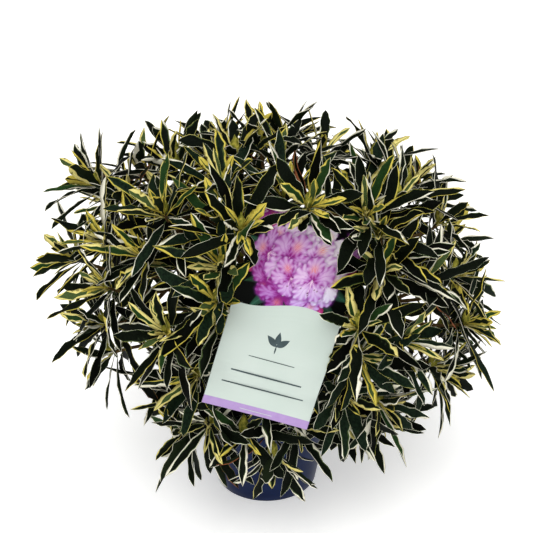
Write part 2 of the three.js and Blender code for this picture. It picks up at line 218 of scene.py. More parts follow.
class Mesher:
    """Gathers closed shapes in millimetres, with a finish for each face, and makes a mesh."""

    def __init__(self) -> None:
        """Starts with nothing gathered."""
        self.points: list[Array] = []
        self.faces: Faces = []
        self.finishes: list[int] = []
        self.count = 0

    def add(self, points: Sequence, faces: Faces, finishes: Optional[list[int]] = None) -> int:
        """Adds one closed shape.

        Args:
            points: Its corners.
            faces: Its faces, as numbers of its own corners.
            finishes: The number of each face's finish, or None where all have the first.

        Returns:
            The number that its first corner has in the whole mesh.
        """
        base = self.count
        self.points.append(np.array(points, dtype=float))
        self.faces += [tuple(base + i for i in face) for face in faces]
        self.finishes += finishes or [0] * len(faces)
        self.count += len(points)
        return base

    def make(self, name: str, materials: Sequence[Material], smooth: bool = True) -> Piece:
        """Makes the object.

        Args:
            name: The piece's name.
            materials: Its finishes, in the order that the faces number them.
            smooth: True to shade its faces as one smooth skin.

        Returns:
            The new object, in metres.
        """
        mesh = bpy.data.meshes.new(name)
        mesh.from_pydata((np.concatenate(self.points) * MM).tolist(), [], self.faces)
        for material in materials:
            mesh.materials.append(material)
        mesh.polygons.foreach_set("material_index", self.finishes)
        mesh.polygons.foreach_set("use_smooth", [smooth] * len(self.faces))
        mesh.validate()
        mesh.update()
        return linked(name, mesh)


def settle(piece: Piece, stands_for: Sequence[str] = ()) -> None:
    """Fixes a finished piece to the part, and hides the solids that it stands for.

    Args:
        piece: The finished piece.
        stands_for: The nodes that it replaces.
    """
    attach(piece, BODY)
    if stands_for:
        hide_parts(*stands_for)
    LOG.info("%s: %d triangles", piece.name, sum(len(p.vertices) - 2 for p in piece.data.polygons))


def add_node(
    tree: NodeTree,
    kind: str,
    values: Optional[dict] = None,
    links: Optional[dict] = None,
    **settings: object,
) -> Node:
    """Adds a node to a tree.

    Args:
        tree: The tree it joins.
        kind: The node's type name.
        values: Socket name or number to its value.
        links: Socket name or number to the output socket that feeds it.
        settings: The node's own settings.

    Returns:
        The new node.
    """
    node = tree.nodes.new(kind)
    for name, value in settings.items():
        setattr(node, name, value)
    for name, value in (values or {}).items():
        node.inputs[name].default_value = value
    for name, socket in (links or {}).items():
        tree.links.new(socket, node.inputs[name])
    return node


class GrowthNodes:
    """A Geometry Nodes tree with named inputs for its sizes, built in code and run once."""

    def __init__(self, name: str, sizes: dict[str, float]) -> None:
        """Starts a tree.

        Args:
            name: The tree's name.
            sizes: Its named inputs, with the value that each is given.
        """
        self.tree = bpy.data.node_groups.new(name, "GeometryNodeTree")
        for way in ("INPUT", "OUTPUT"):
            self.tree.interface.new_socket("Geometry", in_out=way, socket_type="NodeSocketGeometry")
        self.values: dict[str, float] = {}
        for size, value in sizes.items():
            kind = "NodeSocketInt" if isinstance(value, int) else "NodeSocketFloat"
            socket = self.tree.interface.new_socket(size, in_out="INPUT", socket_type=kind)
            self.values[socket.identifier] = value
        self.given = self.tree.nodes.new("NodeGroupInput").outputs

    def add(
        self, kind: str, values: Optional[dict] = None, links: Optional[dict] = None, **settings: object
    ) -> Socket:
        """The first output of a new node, which add_node makes."""
        return add_node(self.tree, kind, values, links, **settings).outputs[0]

    def grow(self, source: Piece, shape: Socket, material: Material, name: str) -> Piece:
        """Ends the tree with its instances made real in one material, and runs it on an object.

        Args:
            source: The object that gives its geometry, and goes.
            shape: The socket that gives the finished shape.
            material: The shape's finish.
            name: The new piece's name.

        Returns:
            The new piece, a plain mesh.
        """
        real = self.add("GeometryNodeRealizeInstances", links={"Geometry": shape})
        dressed = self.add("GeometryNodeSetMaterial", {"Material": material}, {"Geometry": real})
        add_node(self.tree, "NodeGroupOutput", links={0: dressed})
        modifier = source.modifiers.new(self.tree.name, "NODES")
        modifier.node_group = self.tree
        for identifier, value in self.values.items():
            modifier[identifier] = value
        bpy.context.view_layer.update()
        evaluated = source.evaluated_get(bpy.context.evaluated_depsgraph_get())
        mesh = bpy.data.meshes.new_from_object(evaluated)
        mesh.name = name
        bpy.data.objects.remove(source)
        return linked(name, mesh)


# ---------------- finishes


def linear_colour(code: str) -> tuple[float, ...]:
    """An sRGB hex colour as linear red, green, blue and alpha."""
    parts = [int(code[i : i + 2], 16) / 255 for i in (0, 2, 4)]
    return *(c / 12.92 if c <= 0.04045 else ((c + 0.055) / 1.055) ** 2.4 for c in parts), 1.0


@dataclass(frozen=True)
class Finish:
    """A surface whose tint wanders between two near shades, in grains of a real size.

    Sizes are in millimetres, and stretch is how many times longer the grains are along Z. The
    relief follows the same grains, or finer ones of the skin's own. A number that is None leaves
    the shader's own.
    """

    name: str
    shade: str = ""
    fleck: str = ""
    grain: float = 1.6
    detail: float = 2.0
    stretch: float = 1.0
    span: tuple[float, float] = (0.3, 0.72)
    relief: float = 0.0
    skin: float = 0.0
    roughness: float = 0.9
    ior: Optional[float] = None
    gloss: Optional[float] = None
    varnish: Optional[float] = None
    varnish_roughness: Optional[float] = None
    made: ClassVar[dict[str, Material]] = {}

    def material(self) -> Material:
        """The material, made at its first use."""
        self.made[self.name] = self.made.get(self.name) or self.mix()
        return self.made[self.name]

    def mix(self) -> Material:
        """Makes the material: a bare shader, its tint and relief, and its plain numbers.

        Returns:
            The new material.
        """
        material = bpy.data.materials.new(self.name)
        material.use_nodes = True
        tree = material.node_tree
        tree.nodes.clear()
        shader = add_node(tree, "ShaderNodeBsdfPrincipled")
        add_node(tree, "ShaderNodeOutputMaterial", links={"Surface": shader.outputs[0]})
        self.pattern(tree, shader)
        for socket, value in (
            ("Roughness", self.roughness),
            ("IOR", self.ior),
            ("Specular IOR Level", self.gloss),
            ("Coat Weight", self.varnish),
            ("Coat Roughness", self.varnish_roughness),
        ):
            if value is not None:
                shader.inputs[socket].default_value = value
        return material

    def grains(self, tree: NodeTree, size: float, detail: float, stretch: float) -> Socket:
        """A noise pattern whose grains are about a real size.

        Args:
            tree: The material's tree.
            size: The grain's size.
            detail: How many finer layers it has.
            stretch: How many times longer it is along Z.

        Returns:
            The pattern's socket.
        """
        place = add_node(tree, "ShaderNodeTexCoord").outputs["Object"]
        drawn = add_node(tree, "ShaderNodeMapping", {"Scale": (1.0, 1.0, 1.0 / stretch)}, {"Vector": place})
        values = {"Scale": 1.0 / (size * MM), "Detail": detail, "Roughness": 0.55}
        return add_node(tree, "ShaderNodeTexNoise", values, {"Vector": drawn.outputs[0]}).outputs[0]

    def pattern(self, tree: NodeTree, shader: Node) -> None:
        """Links the tint and the relief.

        Args:
            tree: The material's tree.
            shader: Its main shader.
        """
        grains = self.grains(tree, self.grain, self.detail, self.stretch)
        ramp = add_node(tree, "ShaderNodeValToRGB", links={"Fac": grains})
        for i, code in enumerate((self.shade, self.fleck)):
            ramp.color_ramp.elements[i].position = self.span[i]
            ramp.color_ramp.elements[i].color = linear_colour(code)
        tree.links.new(ramp.outputs[0], shader.inputs["Base Color"])
        if self.relief:
            height = self.grains(tree, self.skin, 1.0, 1.0) if self.skin else grains
            bump = add_node(tree, "ShaderNodeBump", {"Distance": self.relief * MM}, {"Height": height})
            tree.links.new(bump.outputs[0], shader.inputs["Normal"])


@dataclass(frozen=True)
class LivingTissue(Finish):
    """Leaf, bud or young stem: a waxy skin over soft tissue, so a broad, quiet highlight.

    Each shade of the plant is dealt out leaf by leaf, so one tint is nearly plain. The fine grain
    of the skin breaks up the highlight.
    """

    span: tuple[float, float] = (0.35, 0.7)
    relief: float = 0.10
    roughness: float = 0.56
    ior: float = 1.42
    gloss: float = 0.05


@dataclass(frozen=True)
class PrintedFilm(Finish):
    """Offset ink on a polypropylene sheet: flat colour under a thin satin varnish."""

    grain: float = 7.0
    roughness: float = 0.34
    ior: float = 1.49
    gloss: float = 0.2
    varnish: float = 0.15
    varnish_roughness: float = 0.25


@dataclass(frozen=True)
class PaintedPrint(Finish):
    """Four-colour offset print on polypropylene: tints that run into each other, satin varnish."""

    attribute: str = "ink_tint"
    roughness: float = 0.4
    ior: float = 1.49
    gloss: float = 0.05

    def pattern(self, tree: NodeTree, shader: Node) -> None:
        """Links the tints that are painted on the mesh to the shader."""
        tints = add_node(tree, "ShaderNodeVertexColor", layer_name=self.attribute)
        tree.links.new(tints.outputs["Color"], shader.inputs["Base Color"])


@dataclass(frozen=True)
class StudioPaper(Finish):
    """Matt white background paper on a light table: the light from below keeps shadows pale."""

    grain: float = 1.5
    span: tuple[float, float] = (0.3, 0.7)
    glow: float = 0.42

    def pattern(self, tree: NodeTree, shader: Node) -> None:
        """Links the paper's tint, and lets it glow.

        Args:
            tree: The material's tree.
            shader: Its main shader.
        """
        super().pattern(tree, shader)
        shader.inputs["Emission Color"].default_value = WHITE
        shader.inputs["Emission Strength"].default_value = self.glow


# Young bark is dull brown, finely fissured along the limb, with greyer ridges.
BARK = Finish("bark_fissured", "3a2b20", "7d6750", 2.2, 5.0, 4.0, (0.36, 0.66), 0.5, roughness=0.85)
TWIG_BARK = LivingTissue("twig_bark_young", "4d3a26", "6e5a38", roughness=0.7, gloss=0.0)
BUD_SCALES = LivingTissue("bud_scales", "626725", "b5ab48", 4.5, roughness=0.5)
# Moist peat compost is near-black crumbs with a few paler fibres, wholly dull.
COMPOST = Finish("compost_moist", "1d1510", "4a3728", 4.0, 6.0, span=(0.4, 0.72), relief=1.2, roughness=0.95)
# Injection-moulded polypropylene has an even dyed colour, a faint flow mottle and a soft gloss.
NAVY_PLASTIC = Finish(
    "polypropylene_navy", "0d1c40", "12244e", 38.0, 2.0, 0.4, (0.3, 0.75), 0.04, 0.6, 0.34, 1.49, 0.1
)
PAPER = StudioPaper("studio_paper", "f4f4f2", "fafaf9")


class Shade(Enum):
    """The finishes that a leaf's faces are dealt, in their order on the mesh."""

    DARK, BLUISH, OLD, YOUNG, BAND, CREAM, BUTTER, LEMON, UNDERSIDE, RUSSET = range(10)


LEAF_FINISHES = {
    Shade.DARK: LivingTissue("leaf_blade_dark", "060a05", "0e150b"),
    Shade.BLUISH: LivingTissue("leaf_blade_bluish", "0a140d", "182819", 2.8, relief=0.22),
    # The darkest blade: the real colour of the oldest leaves, and painted shade on every leaf of the crown's
    # inner rosettes.
    Shade.OLD: LivingTissue("leaf_blade_old", "030402", "080b06", gloss=0.03),
    Shade.YOUNG: LivingTissue("leaf_blade_young", "1a3116", "25411d"),
    Shade.BAND: LivingTissue("leaf_inner_band", "3b4c2a", "4c5d33"),
    Shade.CREAM: LivingTissue("leaf_margin_cream", "efebd2", "f6f3e2"),
    Shade.BUTTER: LivingTissue("leaf_margin_butter", "e4d67c", "ece094"),
    Shade.LEMON: LivingTissue("leaf_margin_lemon", "d8c54e", "e2d166"),
    Shade.UNDERSIDE: LivingTissue("leaf_underside", "182113", "20291a", roughness=0.65),
    Shade.RUSSET: LivingTissue("leaf_margin_russet", "86492f", "9a5c3c", roughness=0.65, gloss=0.1),
}


class Ink(Enum):
    """The inks and stock of the label, in their order on the mesh."""

    STOCK, GROUND, MINT, LILAC_BAND, GREY, FOUR_COLOUR = range(6)


INK_FINISHES = {
    Ink.STOCK: PrintedFilm("label_stock", "dfe6de", "e6ece5"),
    Ink.GROUND: PrintedFilm("ink_ground_dark", "030503", "070907", varnish=0.02, gloss=0.05),
    Ink.MINT: PrintedFilm("ink_mint_pale", "c1cec6", "c8d3cc", 60.0),
    Ink.LILAC_BAND: PrintedFilm("ink_lilac_band", "a98bc2", "b094c8"),
    Ink.GREY: PrintedFilm("ink_slate", "3c4a4c", "46565a"),
    Ink.FOUR_COLOUR: PaintedPrint("ink_four_colour"),
}


# ---------------- label and pot, as shapes


@dataclass(frozen=True)
class LabelShape:
    """The stick-in label: a bent card on a narrow tongue, rolled sideways and leaning back.

    The profiles give the distance up from the tongue's tip and forward of it, in millimetres.
    """

    width: float = 112.0
    tongue_width: float = 16.0
    thickness: float = 0.8
    roll: float = 17.0
    entry: tuple[float, float, float] = (-44.0, -50.0, 94.0)
    tongue: tuple = ((0, 0), (36, 0), (57, 10), (71, 34), (84, 66), (98, 102), (111, 131))
    card: tuple = ((108, 132), (175, 120), (245, 102), (313, 82))
    pushed_from: float = 25.0

    @property
    def across(self) -> Array:
        """The unit direction across the card, to its right."""
        return turned(np.array([1.0, 0.0, 0.0]), FORWARD, -math.radians(self.roll))

    @property
    def along(self) -> Array:
        """The unit direction up the card."""
        return turned(UP, FORWARD, -math.radians(self.roll))

    @property
    def chord(self) -> Array:
        """The card's foot to its head, as (along, out)."""
        return np.subtract(self.card[-1], self.card[0]).astype(float)

    @property
    def height(self) -> float:
        """The card's height along its chord."""
        return math.hypot(*self.chord)

    @staticmethod
    def spline(profile: Sequence, share: float) -> Array:
        """A point on the smooth curve through a profile's points.

        Args:
            profile: The points.
            share: The share of the way through them.

        Returns:
            The point, as (along, out).
        """
        spans = len(profile) - 1
        i = min(int(spans * share), spans - 1)
        w = spans * share - i
        p0, p1, p2, p3 = (np.array(profile[clamped(k, 0, spans)], dtype=float) for k in range(i - 1, i + 3))
        v0, v1 = (p2 - p0) / 2, (p3 - p1) / 2
        return (2 * p1 - 2 * p2 + v0 + v1) * w**3 + (-3 * p1 + 3 * p2 - 2 * v0 - v1) * w**2 + v0 * w + p1

    def at(self, profile: Sequence, share: float, sideways: float, raise_by: float = 0.0) -> Array:
        """A point of a strip.

        Args:
            profile: The card's or the tongue's profile.
            share: The share of the way up it.
            sideways: Millimetres to the right of its middle.
            raise_by: Millimetres out of its front face's middle plane.

        Returns:
            The point in the part's frame, in millimetres.
        """
        step = 1e-3
        low, high = max(share - step, 0.0), min(share + step, 1.0)
        tangent = unit(self.spline(profile, high) - self.spline(profile, low))
        along, out = self.spline(profile, share) + raise_by * np.array([-tangent[1], tangent[0]])
        return np.array(self.entry) + self.along * along + FORWARD * out + self.across * sideways

    def card_place(self, point: Array) -> tuple[float, float, float]:
        """Where a point lies from the card.

        Args:
            point: A point in the part's frame.

        Returns:
            Right of the card's middle, up from its foot, and in front of it.
        """
        offset, chord = point - np.array(self.entry), unit(self.chord)
        up, out = dot(offset, self.along) - self.card[0][0], dot(offset, FORWARD) - self.card[0][1]
        return dot(offset, self.across), up * chord[0] + out * chord[1], out * chord[0] - up * chord[1]

    def fall(self, point: Array) -> Optional[tuple[float, float]]:
        """Where a point in front of the card falls on it, along the way that it was pushed in.

        Args:
            point: A point in the part's frame.

        Returns:
            Right of the card's middle and up from its foot, or None behind it.
        """
        right, up, front = self.card_place(point)
        if front <= 0:
            return None
        pitch = math.radians(self.pushed_from)
        way = math.cos(pitch) * FORWARD + math.sin(pitch) * UP
        start = np.array(self.entry)
        ahead = np.array(self.card_place(start + way)) - self.card_place(start)
        back = front / ahead[2]
        return right - back * ahead[0], up - back * ahead[1]


@dataclass(frozen=True)
class PotShape:
    """The round tapered pot, in millimetres."""

    height: float = 142.0
    rim_radius: float = 87.0
    base_radius: float = 60.0
    wall: float = 1.6
    floor: float = 2.4
    band_height: float = 15.0
    band_step: float = 2.4
    band_taper: float = 0.6
    foot_step: float = 1.5
    soil_top: float = 126.0

    def wall_radius(self, z: float) -> float:
        """The outer radius of the sloping wall at a height."""
        return self.base_radius + (self.rim_radius - self.band_step - self.base_radius) * z / self.height

    def clear_of(self, point: Array) -> float:
        """How far a point lies outside the rim or above it."""
        return max(math.hypot(point[0], point[1]) - self.rim_radius, point[2] - self.height)


# ---------------- the plant's growth rule


@dataclass(frozen=True)
class Tier:
    """One ring of foliage masses round the crown, in degrees and shares of the crown's reach.

    Its boughs have a radius at their foot and head, fork off their limb over a span of shares and
    arch upwards. Its rosettes open to a spread, hang by a share, and are budded in a share of them.
    """

    name: str
    masses: int
    tilt: float
    slope: float
    turn: float
    rosettes: int
    reach: float
    sag: float
    lift: float
    radii: tuple[float, float]
    forks: tuple[float, float]
    arch: float
    spread: float
    hang: float
    budded: float


TIERS = SKIRT, WAIST, SHOULDER, TOP = (
    Tier("skirt", 6, -43, 10, 264, 4, 0.92, 0.3, 0.15, (4.4, 3.4), (0.18, 0.4), 0.2, 92.0, 0.7, 0.7),
    Tier("waist", 7, -2, 10, 199, 5, 1.0, 0, 0.5, (5.2, 3.6), (0.5, 0.92), 0.1, 84.0, 0.28, 0.42),
    Tier("shoulder", 5, 36, 4, 242, 5, 1.0, 0, 0.9, (4.2, 3.3), (0.3, 0.62), 0.06, 76.0, 0.12, 0.42),
    Tier("top", 1, 84, 0, 90, 5, 0.98, 0, 1.0, (6.2, 3.8), (0.97, 0.97), 0.02, 80.0, 0.0, 0.42),
)


@dataclass(frozen=True)
class Limb:
    """A trunk or bough: its name, its course and its radius at a share of the way along."""

    name: str
    course: Bend
    radius: Callable[[float], float]


@dataclass
class Mass:
    """One mass of foliage, with its own space round its cell point."""

    name: str
    tier: Tier
    heading: Array
    reach: float
    seed: int
    cell: Array
    hub: Array
    stem: Optional[Bend] = None


class RosetteAge(Enum):
    """A fat resting bud, a slim bud in a tuft of young leaves, or an old rosette in the shade.

    Each has a count of leaves, and how far out of the bud its youngest one has come.
    """

    BUDDED = (13, 0.2)
    FLUSHING = (22, 0.0)
    # Every leaf of an inner rosette takes the darkest blade: partly its real age, partly painted shade of the
    # crown's inside.
    INNER = (9, 0.4)


@dataclass(frozen=True)
class Rosette:
    """A whorl of leaves at a twig's end."""

    foot: Array
    axis: Array
    twig: Bend
    radii: tuple[float, float]
    turn: float
    age: RosetteAge
    tier: Tier
    seed: int


@dataclass
class GrowthRule:
    """The rule that the solids grow by, in millimetres, carried on to finer twigs."""

    label: LabelShape
    pot: PotShape
    centre: tuple[float, float, float] = (7.0, 6.0, 267.0)
    side: float = 223.0
    front: float = 174.0
    back: float = 192.0
    up: float = 145.0
    down: float = 145.0
    squareness: float = 2.4
    cell_share: float = 0.85
    hub_share: float = 0.6
    stem_length: float = 30.0
    sag_focus: int = 6
    unevenness: float = 0.08
    fork: tuple[float, float, float] = (3.0, -2.0, 50.0)
    trunk_radii: tuple[float, float] = (9.5, 8.0)
    root_flare: float = 4.5
    flare_share: float = 0.28
    clearance: float = 0.3
    bud_height: float = 19.0
    twig_bend: float = 0.45
    cone: float = 0.36
    pulls: tuple = (1, 0.88, 0.76, 0.64)
    flank_gap: float = 0.22
    shifts: tuple = (0.0, 12.0, -12.0, 24.0, -24.0)
    cell_gap: float = 3.0
    card_gap: float = 6.0
    tongue_gap: float = 3.0
    bark_gap: float = 3.5
    pot_gap: float = 5.0
    seed: int = 156
    mass_seed: int = 2300
    rosette_seed: int = 5000
    seed_step: int = 37
    own_reach: tuple[float, float] = (0.93, 1.05)
    side_reach: tuple[float, float] = (0.86, 1.07)
    stem_from: float = 0.35
    own_radii: tuple[float, float] = (2.4, 1.7)
    side_radii: tuple[float, float] = (1.9, 1.5)
    low_shoots: tuple = (
        (-62, -136, 158), (-24, -150, 156), (34, -146, 160),
        (112, -122, 146), (104, -92, 150), (-98, -114, 142),
    )
    lapping_shoots: tuple = (
        (68, 172, 15), (64, 214, 12), (26, 220, 12), (-22, 218, 12),
        (-68, 178, 15), (70, 122, 15), (-70, 110, 14),
    )
    stray_shoots: tuple = (
        (180, 30, 1.1), (-38, -40, 1.04), (-118, -38, 1.02), (-62, -40, 1.0), (-12, -28, 1.08),
    )
    shoot_forks: tuple = (0.6, 0.3, 0.85)
    masses: list[Mass] = field(default_factory=list)
    limbs: list[Limb] = field(default_factory=list)
    rosettes: list[Rosette] = field(default_factory=list)

    def reach(self, heading: Array) -> float:
        """How far the crown's surface lies from its centre.

        Args:
            heading: The direction.

        Returns:
            The distance.
        """
        depth = self.front if heading[1] < 0 else self.back
        sizes = (self.side, depth, self.down if heading[2] < 0 else self.up)
        total = sum((abs(c) / s) ** self.squareness for c, s in zip(heading, sizes))
        return total ** (-1 / self.squareness)

    def on_crown(self, heading: Array, share: float) -> Array:
        """The point at a share of the way out to the crown's surface."""
        return np.array(self.centre) + heading * share * self.reach(heading)

    def lay_out_masses(self) -> None:
        """Places the foliage masses tier by tier."""
        chance = Chance(self.seed)
        for tier in TIERS:
            for i in range(tier.masses):
                azimuth = math.radians(tier.turn + 360 * i / tier.masses + chance.either(7))
                slope = tier.slope * math.cos(azimuth)
                heading = bearing(azimuth, math.radians(tier.tilt - slope + chance.either(4)))
                strayed = 1 + chance.either(self.unevenness)
                reach = tier.reach * (1 + tier.sag * max(0.0, -math.sin(azimuth)) ** self.sag_focus) * strayed
                name = f"{tier.name}_{i + 1}" if tier.masses > 1 else tier.name
                cell = self.on_crown(heading, self.cell_share * reach)
                hub = self.on_crown(heading, self.hub_share * reach)
                seed = self.mass_seed + len(self.masses)
                self.masses.append(Mass(name, tier, heading, reach, seed, cell, hub))

    def mass_at(self, point: Array) -> Mass:
        """The mass whose own space a point lies in."""
        return min(self.masses, key=lambda m: square(point - m.cell))

    def depth_in_cell(self, point: Array, mass: Mass) -> float:
        """How far inside a mass's own space a point lies; below 0 it is in a neighbour's."""
        own, others = square(point - mass.cell), (m for m in self.masses if m is not mass)
        return min((square(point - m.cell) - own) / (2 * apart(m.cell, mass.cell)) for m in others)

    def lay_out_limbs(self) -> None:
        """Lays out the trunk with its root flare, then each tier's boughs and stems."""
        foot = UP * (self.pot.soil_top + self.clearance)
        fork = np.array(self.fork) + UP * self.pot.soil_top
        middle = np.array([foot[0], foot[1], (foot[2] + fork[2]) / 2])

        def radius(share: float) -> float:
            """The trunk's radius."""
            flare = max(0.0, 1 - share / self.flare_share) ** 2 * self.root_flare
            return mixed(*self.trunk_radii, share) + flare

        trunk = Limb("trunk", Bend(foot, middle, fork), radius)
        self.limbs.append(trunk)
        leader = self.grow_tier(TOP, trunk, 1)
        for tier, parent, skip in ((WAIST, trunk, 3), (SHOULDER, leader, 2), (SKIRT, trunk, 5)):
            self.grow_tier(tier, parent, skip)

    def grow_tier(self, tier: Tier, parent: Limb, skip: int) -> Limb:
        """Grows one tier's boughs from a limb.

        Args:
            tier: The tier.
            parent: The limb that carries it.
            skip: How many places on the next bough forks off.

        Returns:
            The tier's first bough.
        """
        first, low, high = len(self.limbs), *tier.forks
        for i, mass in enumerate(m for m in self.masses if m.tier is tier):
            rank = (i * skip) % tier.masses
            start = parent.course.point(low + (high - low) * rank / max(1, tier.masses - 1))
            end = mass.hub + self.stem_length * unit(start - mass.hub)
            course = Bend(start, (start + end) / 2 + UP * tier.arch * apart(end, start), end)
            self.limbs.append(Limb(f"bough_{mass.name}", course, lambda share: mixed(*tier.radii, share)))
            ahead = course.heading(1.0)
            stem_start = end + ahead * self.clearance
            mass.stem = Bend(stem_start, stem_start + ahead * self.stem_length / 2, mass.hub)
        return self.limbs[first]

    def clear_of_limbs(self, point: Array) -> float:
        """How clear a point is of every limb's bark."""
        parts = [i / 12 for i in range(13)]
        return min(apart(point, limb.course.point(s)) - limb.radius(s) for limb in self.limbs for s in parts)

    def clear_of_label(self, point: Array) -> tuple[float, float]:
        """How clear a point is of the label.

        Args:
            point: The point.

        Returns:
            How clear it is of the card, below 0 in front of it, and of the tongue.
        """
        label, foot, head = self.label, self.label.card[0], self.label.card[-1]
        offset = point - np.array(label.entry)
        across = abs(dot(offset, label.across)) - label.width / 2
        along, out = dot(offset, label.along), dot(offset, FORWARD)
        share = clamped((along - foot[0]) / (head[0] - foot[0]))
        behind, beyond = mixed(foot[1], head[1], share) - out, max(foot[0] - along, along - head[0])
        bar = (np.array(label.entry) + label.along * up + FORWARD * ahead for up, ahead in label.tongue)
        return max(across, beyond, behind), min(apart(spot, point) for spot in bar) - label.tongue_width

    def has_room(self, twig: Bend, mass: Mass) -> bool:
        """Whether a twig has room.

        Args:
            twig: The twig's course.
            mass: The mass that it belongs to.

        Returns:
            True if it and its bud stay in the mass's space, clear of limbs, label and pot.
        """
        points = [*twig.points(6), twig.end + twig.heading(1.0) * self.bud_height]
        for i, point in enumerate(points):
            card, tongue = self.clear_of_label(point)
            if card <= self.card_gap or tongue <= self.tongue_gap or self.pot.clear_of(point) <= self.pot_gap:
                return False
            if self.depth_in_cell(point, mass) <= self.cell_gap:
                return False
            if i >= 2 and self.clear_of_limbs(point) <= self.bark_gap:
                return False
        return True

    def twig_to(self, start: Array, foot: Array, axis: Array) -> Bend:
        """A twig from a point of the wood to a rosette, which it reaches axis-on."""
        return Bend(start, foot - axis * self.twig_bend * apart(foot, start), foot)

    def add_rosette(
        self, twig: Bend, axis: Array, radii: tuple, mass: Mass, turn: float, age: Optional[RosetteAge]
    ) -> None:
        """Adds a rosette.

        Args:
            twig: The twig that it ends.
            axis: The way that it faces.
            radii: The twig's radius at its start and its end.
            mass: The mass that it belongs to.
            turn: How it is turned about its axis.
            age: Its age, or None to deal it one.
        """
        seed = self.rosette_seed + self.seed_step * len(self.rosettes)
        dealt = RosetteAge.BUDDED if Chance(seed)() < mass.tier.budded else RosetteAge.FLUSHING
        self.rosettes.append(Rosette(twig.end, axis, twig, radii, turn, age or dealt, mass.tier, seed))

    def lay_out_rosettes(self) -> None:
        """Lays out each mass's own rosettes, by the rule and the numbers of the solids."""
        for mass in self.masses:
            chance, count = Chance(mass.seed), mass.tier.rosettes
            sideways = unit(np.cross(UP, mass.heading))
            upward = np.cross(mass.heading, sideways)
            for i in range(count):
                turn = i * GOLDEN_ANGLE + chance.either(0.25) + mass.seed
                away = math.tan(self.cone * math.sqrt((i + 0.35) / (count - 1 + 0.35)))
                aside = sideways * away * math.cos(turn)
                heading = unit(mass.heading + aside + upward * away * math.sin(turn))
                reach = mass.reach * chance.between(*self.own_reach)
                axis = unit(heading + UP * mass.tier.lift)
                start = mass.stem.point(mixed(self.stem_from, 1.0, i / (count - 1)))
                for pull in self.pulls:
                    twig = self.twig_to(start, self.on_crown(heading, reach * pull), axis)
                    if self.has_room(twig, mass):
                        self.add_rosette(twig, axis, self.own_radii, mass, FULL_TURN * chance(), None)
                        break

    def fill_in(
        self, count: int, share: float, spacing: float, low_tilt: float, age: Optional[RosetteAge]
    ) -> None:
        """Carries the twigs on: side twigs that end in rosettes where a shell has room for them.

        Args:
            count: How many places are tried, evenly over the shell.
            share: The shell's share of the crown's reach.
            spacing: The least distance between two rosettes' feet, which grows on the flanks.
            low_tilt: The lowest tilt of a place, in degrees.
            age: The rosettes' age, or None to deal it out.
        """
        chance, parents = Chance(900 + count), list(self.rosettes)
        fork = 0.4 if share < 0.9 else 0.55
        for i in range(count):
            z = 1 - 2 * (i + 0.5) / count
            flat = math.sqrt(1 - z * z)
            heading = np.array([flat * math.cos(i * GOLDEN_ANGLE), flat * math.sin(i * GOLDEN_ANGLE), z])
            reach, turn = share * chance.between(*self.side_reach), FULL_TURN * chance()
            if z < math.sin(math.radians(low_tilt)):
                continue
            mass = self.mass_at(self.on_crown(heading, reach))
            foot = self.on_crown(heading, reach * mass.reach)
            own = [r for r in parents if r.tier is mass.tier and self.depth_in_cell(r.foot, mass) > 0]
            room = spacing * (1 + self.flank_gap * heading[0] ** 2)
            if not own or min(apart(foot, r.foot) for r in self.rosettes) < room:
                continue
            axis = unit(heading + UP * mass.tier.lift)
            near = min(own, key=lambda r: apart(r.twig.point(0.55), foot))
            twig = self.twig_to(near.twig.point(fork), foot, axis)
            if self.has_room(twig, mass):
                self.add_rosette(twig, axis, self.side_radii, mass, turn, age)

    def send_out(self, foot: Array, axis: Array, turn: float, age: RosetteAge) -> None:
        """Sends a side twig to a place of its own, from the nearest twig of the same mass.

        Args:
            foot: Where its rosette stands, or beside which it finds room.
            axis: The way that the rosette faces.
            turn: How the rosette is turned about its axis.
            age: The rosette's age.
        """
        aside = unit(np.cross(UP, foot - np.array(self.centre)))
        for shift in self.shifts:
            spot = foot + aside * shift
            mass = self.mass_at(spot)
            own = [r for r in self.rosettes if self.depth_in_cell(r.foot, mass) > 0]
            near = min(own, key=lambda r: apart(r.twig.point(0.6), spot))
            for part in self.shoot_forks:
                twig = self.twig_to(near.twig.point(part), spot, axis)
                if self.has_room(twig, mass):
                    self.add_rosette(twig, axis, self.side_radii, mass, turn, age)
                    return
        LOG.info("no room for a shoot at %s", foot.round())

    def send_out_shoots(self) -> None:
        """Lets a few shoots stand out of the crown, a few hang low, and a few lap the card's edges."""
        for i, (azimuth, tilt, reach) in enumerate(self.stray_shoots):
            heading = bearing(math.radians(azimuth), math.radians(tilt))
            foot = self.on_crown(heading, reach)
            self.send_out(foot, unit(heading + UP * 0.3), 1.3 * i, RosetteAge.FLUSHING)
        for i, place in enumerate(self.low_shoots):
            foot, away = np.array(place, dtype=float), np.array([place[0], place[1], 0.0])
            self.send_out(foot, unit(unit(away) + UP * 0.45), 0.9 * i, RosetteAge.BUDDED)
        label = self.label
        for i, (right, up, front) in enumerate(self.lapping_shoots):
            foot = label.at(label.card, min(1.0, up / label.height), right, front)
            inward = -label.across * (0.25 if right > 0 else -0.25)
            foot = foot + label.along * max(0.0, up - label.height)
            self.send_out(foot, unit(FORWARD * 0.8 + UP * 0.55 + inward), 0.7 * i, RosetteAge.FLUSHING)

    def grow(self) -> None:
        """Grows the whole plant's plan."""
        self.lay_out_masses()
        self.lay_out_limbs()
        self.lay_out_rosettes()
        LOG.info("rosettes of the solids: %d", len(self.rosettes))
        self.send_out_shoots()
        self.fill_in(count=600, share=0.9, spacing=56.0, low_tilt=-44.0, age=None)
        LOG.info("with side twigs: %d", len(self.rosettes))
        self.fill_in(count=260, share=0.66, spacing=60.0, low_tilt=-20.0, age=RosetteAge.INNER)
        LOG.info("with inner ones: %d", len(self.rosettes))


# ---------------- leaves


